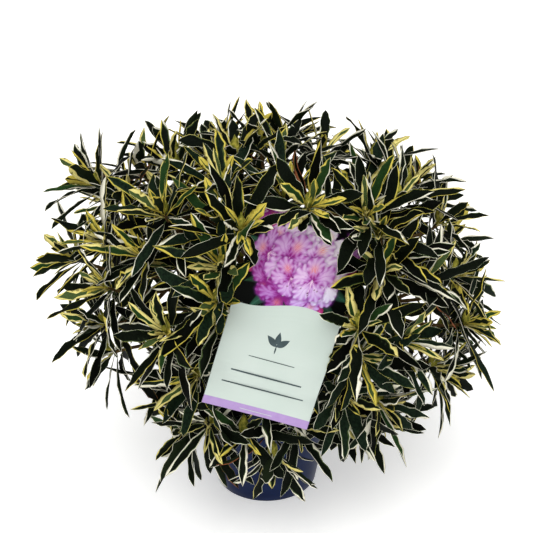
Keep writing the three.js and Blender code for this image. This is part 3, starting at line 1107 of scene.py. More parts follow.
@dataclass(frozen=True)
class Leaf:
    """How one leaf is built, in millimetres and radians: a closed thin blade with its margins.

    The margins give how wide each one is, the band is the grey-green strip inside it, and petiole
    and fullest are shares of the length.
    """

    length: float
    width: float
    bend: float
    twist: float
    fold: float
    ripple: float
    margins: Sequence[float]
    band: float
    blade: Shade
    edges: Sequence[Shade]
    stalk: Shade
    sweep: float
    fullest: float
    taper: float
    stations: int
    petiole: float = 0.07
    wobble: float = 0.2
    waves: float = 2.3
    rib: float = 0.12
    stalk_radius: float = 0.75
    tip_radius: float = 0.12
    sides: ClassVar[int] = 10

    def half_widths(self, shares: Array) -> Array:
        """Half the blade's width at shares of its length.

        Args:
            shares: Shares of the length, from the stalk to the pointed tip.

        Returns:
            The half width at each.
        """
        blade = np.clip((shares - self.petiole) / (1 - self.petiole), 0, 1)
        rise = self.taper * self.fullest / (1 - self.fullest)
        shape = blade**rise * (1 - blade) ** self.taper
        peak = self.fullest**rise * (1 - self.fullest) ** self.taper
        least = np.where(shares < 0.5, self.stalk_radius, self.tip_radius)
        return np.maximum(self.width / 2 * np.minimum(1.0, 1.14 * shape / peak), least)

    def midline(self, root: Array, out: Array, face: Array) -> tuple[Array, ...]:
        """The leaf's midline, which bends down and sweeps aside.

        Args:
            root: Where the stalk starts.
            out: The unit direction that the leaf sets out in.
            face: The unit direction that its upper side faces.

        Returns:
            The share, the point, the direction along and the direction out of its face, for each station.
        """
        shares = np.linspace(0, 1, self.stations + 1)
        angles = self.bend * shares**1.25
        along = np.cos(angles)[:, None] * out - np.sin(angles)[:, None] * face
        normal = np.cos(angles)[:, None] * face + np.sin(angles)[:, None] * out
        steps = (along[1:] + along[:-1]) / 2 * (self.length / self.stations)
        points = np.vstack([root, root + np.cumsum(steps, axis=0)])
        points += np.cross(face, out) * (self.sweep * self.length * shares**2)[:, None]
        return shares, points, along, normal

    @staticmethod
    def ragged(count: int, chance: Chance) -> Array:
        """How wide a margin is, as it wanders and here and there runs far into the blade.

        Args:
            count: How many stations it passes.
            chance: The stream that it draws from.

        Returns:
            Its width at each station, as a share of its plain width.
        """
        widths, width = [], chance.between(0.5, 1.5)
        for _ in range(count):
            width = clamped(width + chance.either(0.8), 0.08, 2.0)
            widths.append(width)
        if chance() < 0.3:
            start = int(chance.between(2, count - 3))
            for i in range(start, min(start + 3, count)):
                widths[i] += chance.between(1.0, 3.2)
        return np.array(widths)

    def press(self, mesher: Mesher, root: Array, out: Array, face: Array, chance: Chance) -> None:
        """Adds the leaf to a mesher.

        Args:
            mesher: What it is added to.
            root: Where the stalk starts.
            out: The unit direction that the leaf sets out in.
            face: The unit direction that its upper side faces.
            chance: The stream that its irregular margins draw from.
        """
        shares, middle, along, normal = self.midline(root, out, face)
        plain, half_width = self.half_widths(shares), max(self.width / 2, 1e-6)
        across, twist = np.cross(normal, along), self.twist * shares
        side = np.cos(twist)[:, None] * across + np.sin(twist)[:, None] * normal
        top = np.cos(twist)[:, None] * normal - np.sin(twist)[:, None] * across
        thick, quilt = 0.28 + 0.25 * plain / half_width, 0.05 * plain
        phase = chance.between(0, FULL_TURN)
        edges = []
        for sign, margin in zip((-1, 1), self.margins):
            half = plain * np.array([1 + chance.either(self.wobble) for _ in shares])
            rough = self.ragged(len(shares), chance)
            tip = 1 + 1.3 * np.clip((shares - 0.75) / 0.25, 0, 1)
            border = np.clip(half - margin * rough * tip, 0.1 * half, 0.985 * half)
            gap = self.band * np.array([chance.between(0.2, 1.8) for _ in shares])
            core = np.clip(border - gap, 0.05 * half, border * 0.97)
            swell = np.sin(FULL_TURN * self.waves * shares + phase + sign)
            wave = self.ripple * swell * (half / half_width)
            rise = wave - self.fold * half
            spots = []
            for offset in (border, core):
                share = offset / half
                spots.append((sign * offset, rise * share**2 + quilt * 4 * share * (1 - share)))
            (rim, rim_height), inner = spots
            edges.append([(sign * half, rise), (rim, rim_height), inner, (rim, rim_height - thick)])
        left, right = edges
        zero = np.zeros_like(plain)
        section = left[:3] + [(zero, zero - self.rib)] + right[2::-1]
        section += [right[3], (zero, zero - self.rib - 1.5 * thick), left[3]]
        points = np.stack([middle + side * x[:, None] + top * y[:, None] for x, y in section], axis=1)
        parts = (self.blade, Shade.BAND, Shade.UNDERSIDE, self.stalk, *self.edges)
        blade, band, under, stalk, one, two = (part.value for part in parts)
        columns = [one, band, blade, blade, band, two, two, under, under, one]
        finishes = [stalk] * self.sides + columns * (self.stations - 1) + [stalk, one]
        mesher.add(points.reshape(-1, 3), tube_faces(self.stations, self.sides, inward=True), finishes)


@dataclass
class Foliage:
    """The leaves of the whole crown, grown rosette by rosette. Sizes are in millimetres.

    A leaf's order runs from the youngest of its rosette, 0, to the oldest, 1. A lap is how far in
    from the card's edges leaves may lie in front of it. The rest of the card is kept bare, from
    just inside its sides and head to a little below its foot.
    """

    rule: GrowthRule
    leaf_length: float = 73.0
    leaf_width: float = 11.3
    slack: float = 10.0
    plain_share: float = 0.52
    shady: float = 190.0
    dusk: float = 110.0
    tuft: float = 0.32
    grown_at: float = 0.45
    old_from: float = 0.8
    broad_share: float = 0.2
    russet_share: float = 0.03
    plain_margin: float = 0.12
    closed: float = 6.0
    whorl_depth: float = 14.0
    trail: float = 80.0
    root_out: float = 1.2
    rim_air: float = 2.0
    side_air: float = 3.0
    card_air: float = 5.0
    bare_side: float = 2.0
    bare_foot: float = 10.0
    bare_head: float = 4.0
    lap_left: float = 13.0
    lap_right: float = 27.0
    lap_head: float = 24.0
    lap_from: float = 0.5
    askew: tuple[float, float, float] = (0.3, 1.0, 0.2)
    trims: tuple = (1.0, 0.82, 0.66, 0.5)
    rosettes_a_piece: int = 40
    leaves: int = 0

    def laps_card(self, right: float, up: float) -> bool:
        """Whether a leaf may lie in front of the card: on its upper half, near an edge.

        Args:
            right: Right of the card's middle.
            up: Up from its foot.

        Returns:
            True where it may.
        """
        label = self.rule.label
        beside = right > label.width / 2 - self.lap_right or right < self.lap_left - label.width / 2
        return up > self.lap_from * label.height and (beside or up > label.height - self.lap_head)

    def fits(self, points: Array) -> bool:
        """Whether a leaf has room.

        Args:
            points: The leaf's midline.

        Returns:
            True if it stays in bounds and keeps out of the pot, the label and the soil.
        """
        label, pot = self.rule.label, self.rule.pot
        low, high = (np.array(corner) / MM for corner in CAD_BOX)
        if (points < low - self.slack).any() or (points > high + self.slack).any():
            return False
        half, sides = label.width / 2, set()
        for point in points[1:]:
            if math.hypot(point[0], point[1]) < pot.rim_radius + self.rim_air and point[2] < pot.height:
                return False
            right, up, front = label.card_place(point)
            if abs(right) <= half + self.side_air and -self.card_air < up < label.height + self.card_air:
                if abs(front) < self.card_air:
                    return False
                sides.add(front > 0)
            fall = label.fall(point)
            if fall is None or self.laps_card(*fall):
                continue
            across, up = fall
            if abs(across) < half - self.bare_side and -self.bare_foot < up < label.height - self.bare_head:
                return False
        return len(sides) < 2

    def sunlit(self, rosette: Rosette) -> float:
        """How much sun a rosette gets, up to 1: its margins turn out yellower for it."""
        return mixed(0.12, 1.0, clamped((rosette.foot[2] - self.shady) / self.dusk))

    @staticmethod
    def edge_shade(gold: float, chance: Chance) -> Shade:
        """Deals one margin its shade, which is yellow in the share of them that gold gives."""
        roll = chance()
        return Shade.LEMON if roll < gold * 0.6 else (Shade.BUTTER if roll < gold else Shade.CREAM)

    def leaf(self, rosette: Rosette, order: float, chance: Chance) -> Leaf:
        """Deals one leaf its build.

        Args:
            rosette: The rosette that it stands in.
            order: Its place from the youngest, 0, to the oldest, 1.
            chance: The rosette's stream.

        Returns:
            The leaf.
        """
        spray, sun = Chance(rosette.seed + 11)(), self.sunlit(rosette)
        grown = min(1.0, order / self.grown_at)
        length = self.leaf_length * chance.between(0.8, 1.12) * mixed(0.3, 1.0, grown)
        width = self.leaf_width * chance.between(0.78, 1.22) * mixed(0.34, 1.0, grown)
        thin = chance.between(0.35, 0.85) * mixed(1.5, 1.0, grown)
        broad = thin * (chance.between(2.2, 4.0) if chance() < self.broad_share else chance.between(0.9, 1.4))
        gold = mixed(0.22, 0.74, spray) * sun
        edges = [Shade.LEMON if chance() < gold else Shade.BUTTER] * 2
        fresh = Shade.YOUNG if sun > 0.4 else Shade.DARK
        blade = Shade.BAND if chance() < 0.7 * sun else fresh
        stalk = Shade.BAND if order > 0.5 else edges[0]
        if order <= self.tuft:
            thin = broad = width / 2 * chance.between(0.3, 0.62) * mixed(0.45, 1.0, sun)
        else:
            edges = [self.edge_shade(gold * (1.25 - 0.6 * order), chance) for _ in range(2)]
            young = 0.6 * spray * sun if order < 0.44 else 0.0
            blade = Shade.YOUNG if chance() < young else (Shade.BLUISH if spray > 0.6 else Shade.DARK)
        # The oldest leaves are really darkest. Every leaf of an inner rosette takes that blade too, as
        # painted shade of the crown's inside.
        if order > self.old_from or rosette.age is RosetteAge.INNER:
            blade = Shade.OLD
        if order > 0.6 and chance() < self.russet_share:
            edges = [Shade.RUSSET] * 2
        margins = [thin, broad] if chance() < 0.5 else [broad, thin]
        if order > 0.4:
            plain = self.plain_share * (1.5 - 0.5 * sun) * mixed(0.6, 1.3, order)
            margins = [self.plain_margin if chance() < plain else margin for margin in margins]
        return Leaf(
            length=length,
            width=width,
            bend=chance.between(-0.15, 0.5) + 0.15 * order,
            twist=chance.either(0.7),
            fold=chance.between(-0.55, -0.05),
            ripple=chance.between(0.4, 1.7) * mixed(0.4, 1.0, grown),
            margins=margins,
            band=chance.between(0.15, 0.5) if order > 0.5 else chance.between(0.3, 0.9),
            blade=blade,
            edges=edges,
            stalk=stalk,
            sweep=chance.either(0.12),
            fullest=chance.between(0.48, 0.62),
            taper=chance.between(0.55, 0.85),
            stations=7 if grown < 0.5 else (8 if rosette.age is RosetteAge.INNER else 12),
        )

    def leaf_out(self, rosette: Rosette, mesher: Mesher) -> None:
        """Grows a rosette's leaves, in the spiral that they really stand in.

        Args:
            rosette: The rosette.
            mesher: What its leaves are added to.
        """
        chance, habit = Chance(rosette.seed), Chance(rosette.seed + 23)
        (leaves, first), tier, twig = rosette.age.value, rosette.tier, rosette.twig
        sideways = unit(np.cross(rosette.axis, self.askew))
        openness, droop = habit.between(0.82, 1.08), habit.between(0.3, 1.5)
        for k in range(leaves):
            order = first + (1 - first) * k / (leaves - 1)
            leaf = self.leaf(rosette, order, chance)
            down = self.whorl_depth * order + self.trail * max(0.0, order - self.old_from)
            share = max(0.3, 1 - down / apart(twig.end, twig.start))
            base, axis = twig.point(share), twig.heading(share)
            opening = math.radians(self.closed + tier.spread * openness * order**0.8) + chance.either(0.22)
            flat = turned(sideways, axis, rosette.turn + k * GOLDEN_ANGLE + chance.either(0.3))
            flat = squared_to(flat, axis)
            out = axis * math.cos(opening) + flat * math.sin(opening)
            out = unit(out - UP * tier.hang * droop * order**2 * chance.between(0.3, 1.5))
            face = squared_to(axis * math.sin(opening) - flat * math.cos(opening), out)
            root = base + flat * self.root_out
            for trim in self.trims:
                cut = replace(leaf, length=leaf.length * trim)
                if self.fits(cut.midline(root, out, face)[1]):
                    cut.press(mesher, root, out, face, chance)
                    self.leaves += 1
                    break

    def build(self) -> None:
        """Makes the leaf pieces, one or two for each tier, in place of the tier's solids."""
        materials = [LEAF_FINISHES[shade].material() for shade in Shade]
        for tier in TIERS:
            nodes = [f"foliage_{m.name}" for m in self.rule.masses if m.tier is tier]
            own = [r for r in self.rule.rosettes if r.tier is tier]
            parts = max(1, math.ceil(len(own) / self.rosettes_a_piece))
            for part in range(parts):
                mesher = Mesher()
                for rosette in own[part::parts]:
                    self.leaf_out(rosette, mesher)
                name = f"leaves_{tier.name}_{part + 1}" if parts > 1 else f"leaves_{tier.name}"
                settle(mesher.make(name, materials), nodes)
        LOG.info("leaves: %d", self.leaves)


# ---------------- wood and buds


@dataclass
class Wood:
    """Trunk, boughs and twigs, in bark. Sizes are in millimetres."""

    rule: GrowthRule
    sides: int = 14
    twig_sides: int = 7
    ring_step: float = 2.2
    twig_step: float = 5.0
    relief: float = 0.55
    sunk: float = 0.2
    fissures: float = 0.35
    fissure_stretch: float = 0.3
    knees: float = 0.06
    scar: float = 1.12
    askew: tuple[float, float, float] = (0.31, 0.95, 0.12)
    stem_radii: tuple[float, float] = (3.2, 2.4)
    into_bough: float = 0.3
    into_bud: float = 2.0

    def add_limb(self, mesher: Mesher, limb: Limb) -> None:
        """Adds one limb with ridged bark.

        Args:
            mesher: What it is added to.
            limb: The trunk or bough.
        """
        course, points = limb.course, []
        rings = max(8, int(apart(course.end, course.start) / self.ring_step))
        reference = unit(np.cross(course.heading(0.0), self.askew))
        for share in (i / rings for i in range(rings + 1)):
            centre, ahead, radius = course.point(share), course.heading(share), limb.radius(share)
            normal = squared_to(reference, ahead)
            side = np.cross(ahead, normal)
            knee = 0.5 * noise.noise(Vector(centre * self.knees))
            for turn in (FULL_TURN * k / self.sides for k in range(self.sides)):
                out = normal * math.cos(turn) + side * math.sin(turn)
                spot = Vector((centre + out * radius) * self.fissures)
                spot.z *= self.fissure_stretch
                ridge = noise.noise(spot) + 0.5 * noise.noise(spot * 2.7)
                points.append(centre + out * (radius - self.sunk + self.relief * (ridge + knee)))
        mesher.add(points, tube_faces(rings, self.sides))

    def twig_courses(self) -> Piece:
        """The courses of all stems and twigs, thicker at each leaf scar.

        Returns:
            One curve object.
        """
        curves = bpy.data.curves.new("twig_courses", "CURVE")
        curves.dimensions = "3D"
        courses = [(m.stem, self.stem_radii, True) for m in self.rule.masses]
        courses += [(r.twig, r.radii, False) for r in self.rule.rosettes]
        for course, (low, high), is_stem in courses:
            steps = max(6, int(apart(course.end, course.start) / self.twig_step))
            points = course.points(steps)
            if is_stem:
                points[0] = points[0] + (points[0] - points[1]) * self.into_bough
            else:
                points = np.vstack([points, course.end + course.heading(1.0) * self.into_bud])
            spline = curves.splines.new("POLY")
            spline.points.add(len(points) - 1)
            for i, point in enumerate(points):
                scar = self.scar if i % 3 == 1 else 1.0
                spline.points[i].co = (*(point * MM), 1.0)
                spline.points[i].radius = mixed(low, high, min(1.0, i / steps)) * scar * MM
        return linked("twig_courses", curves)

    def build(self) -> None:
        """Makes the bark-covered limbs and the twigs."""
        mesher = Mesher()
        for limb in self.rule.limbs:
            self.add_limb(mesher, limb)
        limbs = mesher.make("limbs_bark", [BARK.material()])
        settle(limbs, [limb.name for limb in self.rule.limbs])
        nodes = GrowthNodes("twigs_along_courses", {"Sides": self.twig_sides})
        links = {"Resolution": nodes.given["Sides"]}
        links = {"Profile Curve": nodes.add("GeometryNodeCurvePrimitiveCircle", {"Radius": 1.0}, links)}
        links["Curve"] = nodes.given["Geometry"]
        tube = add_node(nodes.tree, "GeometryNodeCurveToMesh", {"Fill Caps": True}, links)
        if "Scale" in tube.inputs:
            nodes.tree.links.new(nodes.add("GeometryNodeInputRadius"), tube.inputs["Scale"])
        smooth = nodes.add("GeometryNodeSetShadeSmooth", links={"Geometry": tube.outputs[0]})
        settle(nodes.grow(self.twig_courses(), smooth, TWIG_BARK.material(), "twigs"))


@dataclass
class Buds:
    """The pointed resting buds, one upright in each rosette, wrapped in overlapping scales.

    Lengths are in millimetres, and the scales' own sizes are in bud lengths and radians.
    """

    rule: GrowthRule
    sides: int = 8
    rings: int = 7
    scales: int = 11
    length: float = 24.0
    radius: float = 5.0
    slim: float = 0.78
    scale_spread: float = 0.78
    scale_thickness: float = 0.018
    scale_lift: float = 0.016

    def girth(self, share: float) -> float:
        """The bud's radius at a share of its height, in bud lengths."""
        swell = math.sin(math.pi * min(1.0, 0.16 + 0.84 * share) ** 0.8) * (1 - 0.35 * share)
        return 1.15 * self.radius / self.length * max(0.05, swell)

    @staticmethod
    def spot(radius: float, turn: float, height: float) -> list[float]:
        """A point round the bud's axis, in bud lengths, as the mesher takes it."""
        return [radius * math.cos(turn) / MM, radius * math.sin(turn) / MM, height / MM]

    def add_core(self, mesher: Mesher) -> None:
        """Adds the bud's smooth core.

        Args:
            mesher: What it is added to.
        """
        shares = [i / (self.rings - 1) for i in range(self.rings)]
        turns = [FULL_TURN * k / self.sides for k in range(self.sides)]
        points = [self.spot(self.girth(share), turn, share) for share in shares for turn in turns]
        mesher.add(points, tube_faces(self.rings - 1, self.sides))

    def add_scale(self, mesher: Mesher, number: int) -> None:
        """Adds one pointed scale, a thin closed shell that hugs the core and parts at its tip.

        Args:
            mesher: What it is added to.
            number: Its number from the lowest, 0.
        """
        turn = number * GOLDEN_ANGLE
        low = 0.03 + 0.45 * number / (self.scales - 1)
        high = min(1.04, low + 0.44 + 0.12 * (number % 2))
        points = []
        for skin in (0.0, self.scale_thickness):
            for share in (0.0, 0.25, 0.5, 0.75):
                height = mixed(low, high, share)
                spread = self.scale_spread * math.sin(math.pi * (0.3 + 0.6 * share))
                radius = self.girth(height) * (1.06 + 0.22 * share**2) + self.scale_lift - skin
                points += [self.spot(radius, turn + side * spread, height) for side in (-1, 0, 1)]
            points.append(self.spot(self.girth(high) * 1.3 + 0.022 - skin, turn, high))
        back, tip, faces = 13, 12, []
        for a in (0, 3, 6):
            for c in (a, a + 1):
                faces.append((c, c + 1, c + 4, c + 3))
                faces.append((back + c, back + c + 3, back + c + 4, back + c + 1))
            faces.append((a, a + 3, back + a + 3, back + a))
            faces.append((a + 2, back + a + 2, back + a + 5, a + 5))
        for c in (0, 1):
            faces.append((c, back + c, back + c + 1, c + 1))
            faces.append((9 + c, 10 + c, tip))
            faces.append((back + 10 + c, back + 9 + c, back + tip))
        faces += [(9, tip, back + tip, back + 9), (11, back + 11, back + tip, tip)]
        mesher.add(points, faces)

    def build(self) -> None:
        """Sets an upright bud on each rosette's foot."""
        mesher = Mesher()
        self.add_core(mesher)
        for number in range(self.scales):
            self.add_scale(mesher, number)
        pattern = mesher.make("bud_pattern", [])
        shown = [r for r in self.rule.rosettes if r.age is not RosetteAge.INNER]
        places = bpy.data.meshes.new("bud_places")
        places.from_pydata([(r.foot - r.axis) * MM for r in shown], [], [])
        fat = [1.0 if r.age is RosetteAge.BUDDED else self.slim for r in shown]
        sizes = [size * Chance(r.seed + 3).between(0.86, 1.14) for size, r in zip(fat, shown)]
        nodes, told = GrowthNodes("buds_on_rosettes", {"Length": self.length * MM}), {}
        for name, numbers in (("size", sizes), ("turn", [r.turn for r in shown])):
            places.attributes.new(name, "FLOAT", "POINT").data.foreach_set("value", numbers)
            told[name] = nodes.add("GeometryNodeInputNamedAttribute", {"Name": name}, data_type="FLOAT")
        spin = nodes.add("ShaderNodeCombineXYZ", links={"Z": told["turn"]})
        spun = nodes.add("FunctionNodeEulerToRotation", links={0: spin})
        links = {0: told["size"], 1: nodes.given["Length"]}
        length = nodes.add("ShaderNodeMath", links=links, operation="MULTIPLY")
        bud = add_node(nodes.tree, "GeometryNodeObjectInfo", {"Object": pattern}).outputs["Geometry"]
        links = {"Points": nodes.given["Geometry"], "Instance": bud, "Rotation": spun, "Scale": length}
        placed = nodes.add("GeometryNodeInstanceOnPoints", links=links)
        settle(nodes.grow(linked("bud_places", places), placed, BUD_SCALES.material(), "buds"))
        bpy.data.objects.remove(pattern)


# ---------------- pot and soil


@dataclass
class NurseryPot:
    """The moulded pot: a tapered wall, a stiff rim band with a rolled lip, and a footed base."""

    shape: PotShape
    sides: int = 120
    wall_steps: int = 14
    lip: float = 1.2
    foot_inset: float = 9.0
    foot_rise: float = 1.2

    def profile(self) -> list[tuple[float, float]]:
        """The wall's section.

        Returns:
            Its corners as (radius, height), from the middle of the underside round to the floor's.
        """
        s = self.shape
        band_foot, inner_top = s.height - s.band_height, s.wall_radius(s.height) - s.wall
        band_radius, foot_radius = s.rim_radius - s.band_taper, s.base_radius - self.foot_inset
        points = [(0.0, self.foot_rise), (foot_radius - 1.5, self.foot_rise)]
        points += [(foot_radius, 0.0), (s.base_radius - s.foot_step, 0.0)]
        points += [(s.base_radius - 0.4, 0.4), (s.wall_radius(s.foot_step), s.foot_step)]
        shares = [i / self.wall_steps for i in range(1, self.wall_steps + 1)]
        wall = [mixed(s.foot_step, band_foot - 1.0, share) for share in shares]
        points += [(s.wall_radius(z), z) for z in wall] + [(s.wall_radius(band_foot) + 0.3, band_foot)]
        points += [(band_radius - 0.5, band_foot + 0.05), (band_radius, band_foot + 0.7)]
        points += [(s.rim_radius - 0.25, s.height - 4.2), (s.rim_radius - 0.05, s.height - 3.0)]
        middle, half = (s.rim_radius + inner_top) / 2, (s.rim_radius - inner_top) / 2
        for angle in (math.pi * i / 6 for i in range(7)):
            z = s.height - self.lip + self.lip * math.sin(angle)
            points.append((middle + half * math.cos(angle), z))
        points += [(inner_top - 0.1, s.height - 6.0), (s.wall_radius(s.soil_top) - s.wall, s.soil_top)]
        return points + [(s.wall_radius(s.floor) - s.wall, s.floor), (0.0, s.floor)]

    def build(self) -> None:
        """Turns the section round the pot's axis."""
        profile = self.profile()
        rings = profile[1:-1]
        points = [spot for radius, z in rings for spot in ring(radius, self.sides, z)]
        faces = tube_faces(len(rings) - 1, self.sides)[:-2]
        under, floor, last = len(points), len(points) + 1, len(points) - self.sides
        for k in range(self.sides):
            following = (k + 1) % self.sides
            faces += [(under, following, k), (floor, last + k, last + following)]
        mesher = Mesher()
        mesher.add(points + [[0, 0, profile[0][1]], [0, 0, profile[-1][1]]], faces)
        settle(mesher.make("pot_moulded", [NAVY_PLASTIC.material()]), ["pot"])


@dataclass
class PottingSoil:
    """The compost: a lumpy bed with loose crumbs on it. Sizes are in millimetres."""

    pot: PotShape
    sides: int = 72
    rings: int = 18
    edge_drop: float = 5.0
    sunk: float = 0.6
    gap: float = 0.4
    lumps: float = 1.1
    crumbs_per_m2: float = 60000.0
    crumb_radii: tuple[float, float] = (0.5, 1.7)
    upright: float = 0.5

    def height(self, x: float, y: float, share: float) -> float:
        """The bed's height at a point, at a share of the way out to its edge."""
        lump = self.lumps * noise.noise(Vector((x * 0.09, y * 0.09, 4.0))) * (1 - share**6)
        return self.pot.soil_top - self.sunk - self.edge_drop * max(0.0, (share - 0.3) / 0.7) + lump

    def build(self) -> None:
        """Makes the bed, and strews crumbs over its top."""
        pot = self.pot
        rim = pot.wall_radius(pot.soil_top - self.edge_drop) - pot.wall - self.gap
        points = [[0.0, 0.0, pot.soil_top - self.sunk]]
        for share in ((i + 1) / self.rings for i in range(self.rings)):
            points += [[x, y, self.height(x, y, share)] for x, y, _ in ring(rim * share, self.sides, 0.0)]
        points += ring(pot.wall_radius(pot.floor) - pot.wall - self.gap, self.sides, pot.floor + 0.3)
        walls = tube_faces(self.rings, self.sides, inward=True, first=1)
        faces = [(0, 1 + k, 1 + (k + 1) % self.sides) for k in range(self.sides)]
        mesher = Mesher()
        mesher.add(points, faces + walls[:-2] + walls[-1:])
        bed = mesher.make("soil_bed", [COMPOST.material()])
        ground = linked("soil_ground", bed.data.copy())
        settle(bed, ["soil"])
        settle(self.crumbs(ground))

    def crumbs(self, ground: Piece) -> Piece:
        """Crumbs of compost on the upward faces of a ground.

        Args:
            ground: The ground, which goes.

        Returns:
            The crumbs.
        """
        low, high = (radius * MM for radius in self.crumb_radii)
        sizes = {"Density": self.crumbs_per_m2, "Smallest": low, "Largest": high}
        nodes = GrowthNodes("crumbs_on_soil", sizes)
        given = nodes.given
        parts = add_node(nodes.tree, "ShaderNodeSeparateXYZ", links={0: nodes.add("GeometryNodeInputNormal")})
        upward = nodes.add(
            "FunctionNodeCompare", {1: self.upright}, {0: parts.outputs["Z"]}, operation="GREATER_THAN"
        )
        links = {"Mesh": given["Geometry"], "Density": given["Density"], "Selection": upward}
        spots = nodes.add("GeometryNodeDistributePointsOnFaces", {"Seed": 5}, links)
        crumb = nodes.add("GeometryNodeMeshIcoSphere", {"Radius": 1.0, "Subdivisions": 1})
        links = {2: given["Smallest"], 3: given["Largest"]}
        size = add_node(nodes.tree, "FunctionNodeRandomValue", {"Seed": 8}, links).outputs[1]
        turns = {0: (0, 0, 0), 1: (6.28, 6.28, 6.28), "Seed": 9}
        tumble = nodes.add("FunctionNodeRandomValue", turns, data_type="FLOAT_VECTOR")
        links = {"Points": spots, "Instance": crumb, "Scale": size, "Rotation": tumble}
        strewn = nodes.add("GeometryNodeInstanceOnPoints", links=links)
        return nodes.grow(ground, strewn, COMPOST.material(), "soil_crumbs")


# ---------------- label


@dataclass(frozen=True)
class Floret:
    """A printed flower: its place and size in millimetres, its turn, its slant and its tone."""

    x: float
    y: float
    size: float = 0.0
    turn: float = 0.0
    lean: float = 0.0
    squeeze: float = 1.0
    tone: float = 0.0


def tint(code: str) -> Array:
    """An sRGB hex colour as three linear numbers."""
    return np.array(linear_colour(code)[:3])


@dataclass
class TrussPainter:
    """Paints a dome of ruffled flowers on a dark ground, tint by tint at each point of a print.

    Places are in millimetres on the card: right of its middle, and up from its foot.
    """

    u: Array
    v: Array
    middle: tuple[float, float] = (1.0, 158.0)
    tones: tuple = ("8a2278", "a953a8", "c68fcd", "dcbbe0", "f3e8f3")
    colours: Array = field(init=False)

    def __post_init__(self) -> None:
        """Lays the dark ground."""
        self.colours = np.tile(tint("030503"), (len(self.u), 1))

    def lay(self, share: Array, colour: Array) -> None:
        """Lays a colour, or one for each point, over what is there."""
        self.colours += (colour - self.colours) * share[:, None]

    def toned(self, tone: Array) -> Array:
        """The flower tints of some tones.

        Args:
            tone: The tone at each point, from 0, deep magenta, to 1, nearly white.

        Returns:
            The tint at each point.
        """
        palette = np.array([tint(code) for code in self.tones])
        place = np.clip(tone, 0, 1) * (len(palette) - 1)
        low = np.minimum(place.astype(int), len(palette) - 2)
        return palette[low] + (palette[low + 1] - palette[low]) * (place - low)[:, None]

    def seen_from(self, spot: Floret, angle: float) -> tuple[Array, Array]:
        """Each point as it lies along and across a petal that grows from a flower's middle.

        Args:
            spot: The flower.
            angle: The petal's direction.

        Returns:
            Millimetres along and across it.
        """
        right, up = self.u - spot.x, self.v - spot.y
        cos, sin = math.cos(spot.lean), math.sin(spot.lean)
        more = (right * cos + up * sin) * (1 / spot.squeeze - 1)
        right, up = right + more * cos, up + more * sin
        cos, sin = math.cos(angle), math.sin(angle)
        return right * cos + up * sin, up * cos - right * sin

    def petal(self, spot: Floret, angle: float, size: tuple, phase: float, blotch: float) -> None:
        """Paints one petal with its veins, frills and throat, and its shadow on what lies under it.

        Args:
            spot: The flower that it belongs to.
            angle: Its direction.
            size: Its length and width.
            phase: Where its ruffles start.
            blotch: How strong its flare of orange flecks is.
        """
        length, width = size
        along, across = self.seen_from(spot, angle)
        bent = across - 0.1 * math.sin(3 * phase) * along**2 / length
        # rim is 0 at the petal's middle and 1 at its ruffled edge, and swing is which way that lies.
        x = (along / length - 0.52) / 0.5
        y = bent / (0.5 * width * np.maximum(0.34 + 0.72 * along / length, 0.12))
        swing = np.arctan2(y, x)
        ruffle = 0.055 * (np.sin(6 * swing + phase) + 0.7 * np.sin(11 * swing + 2.3 * phase))
        rim = np.hypot(x, y) - ruffle * np.clip(x + 1, 0, 1)
        shade = 0.5 * np.exp(-((np.maximum(rim - 1, 0) * length / 3.6) ** 2)) * np.clip(along / length, 0, 1)
        self.lay(shade, tint("6d2c76"))
        inside = np.clip((1 - rim) * length * 0.8 + 0.5, 0, 1)
        fan = np.arctan2(bent, np.maximum(along, 0.4))
        veins = np.maximum(0, np.cos(fan * 21 + 0.8 * np.sin(along * 0.5 + phase))) ** 4
        frills = np.sin(9 * swing + 1.7 * phase) * np.clip(rim, 0, 1) ** 3
        throat = np.exp(-((np.maximum(along, 0) / (0.3 * length)) ** 2))
        tone = spot.tone + 0.24 * (1 - rim) - 0.26 * veins * np.clip(1.1 - rim, 0, 1) + 0.3 * frills
        tone = tone - 0.16 * np.clip(rim, 0, 1) ** 6 - 0.45 * throat + 0.1 * math.sin(5 * phase)
        self.lay(inside, self.toned(tone))
        streaks = 0.55 + 0.45 * np.cos(fan * 44 + along)
        flare = np.exp(-(((along / length - 0.47) / 0.2) ** 2) - (across / (0.17 * width)) ** 2)
        self.lay(inside * np.clip(flare * streaks * blotch, 0, 1), tint("e8743a"))

    def stamen(self, spot: Floret, angle: float, length: float, curl: float) -> None:
        """Paints one curved pale thread with its dark tip.

        Args:
            spot: The flower that it belongs to.
            angle: Its direction.
            length: Its length.
            curl: How far it curls aside, as a share of its length.
        """
        along, across = self.seen_from(spot, angle)
        off = np.abs(across - curl * along**2 / length)
        on = (along > 0) & (along < length)
        self.lay(np.clip(1.1 - off / 0.5, 0, 1) * on * 0.85, tint("f3d3ea"))
        tip = np.hypot(along - length, across - curl * length)
        self.lay(np.clip(1.5 - tip / 0.7, 0, 1), tint("5b2b3d"))

    def flower(self, spot: Floret, chance: Chance) -> None:
        """Paints one five-petalled flower, its flecked petal last.

        Args:
            spot: The flower.
            chance: The stream that it draws from.
        """
        for place in (2, 3, 1, 4, 0):
            angle = spot.turn + FULL_TURN * place / 5 + chance.either(0.16)
            size = (spot.size * chance.between(0.88, 1.1), spot.size * chance.between(0.9, 1.16))
            self.petal(spot, angle, size, chance.between(0, FULL_TURN), 0.95 if place == 0 else 0.0)
        for _ in range(6):
            angle = spot.turn + math.pi + chance.either(0.9)
            self.stamen(spot, angle, spot.size * chance.between(0.4, 0.68), chance.either(0.3))

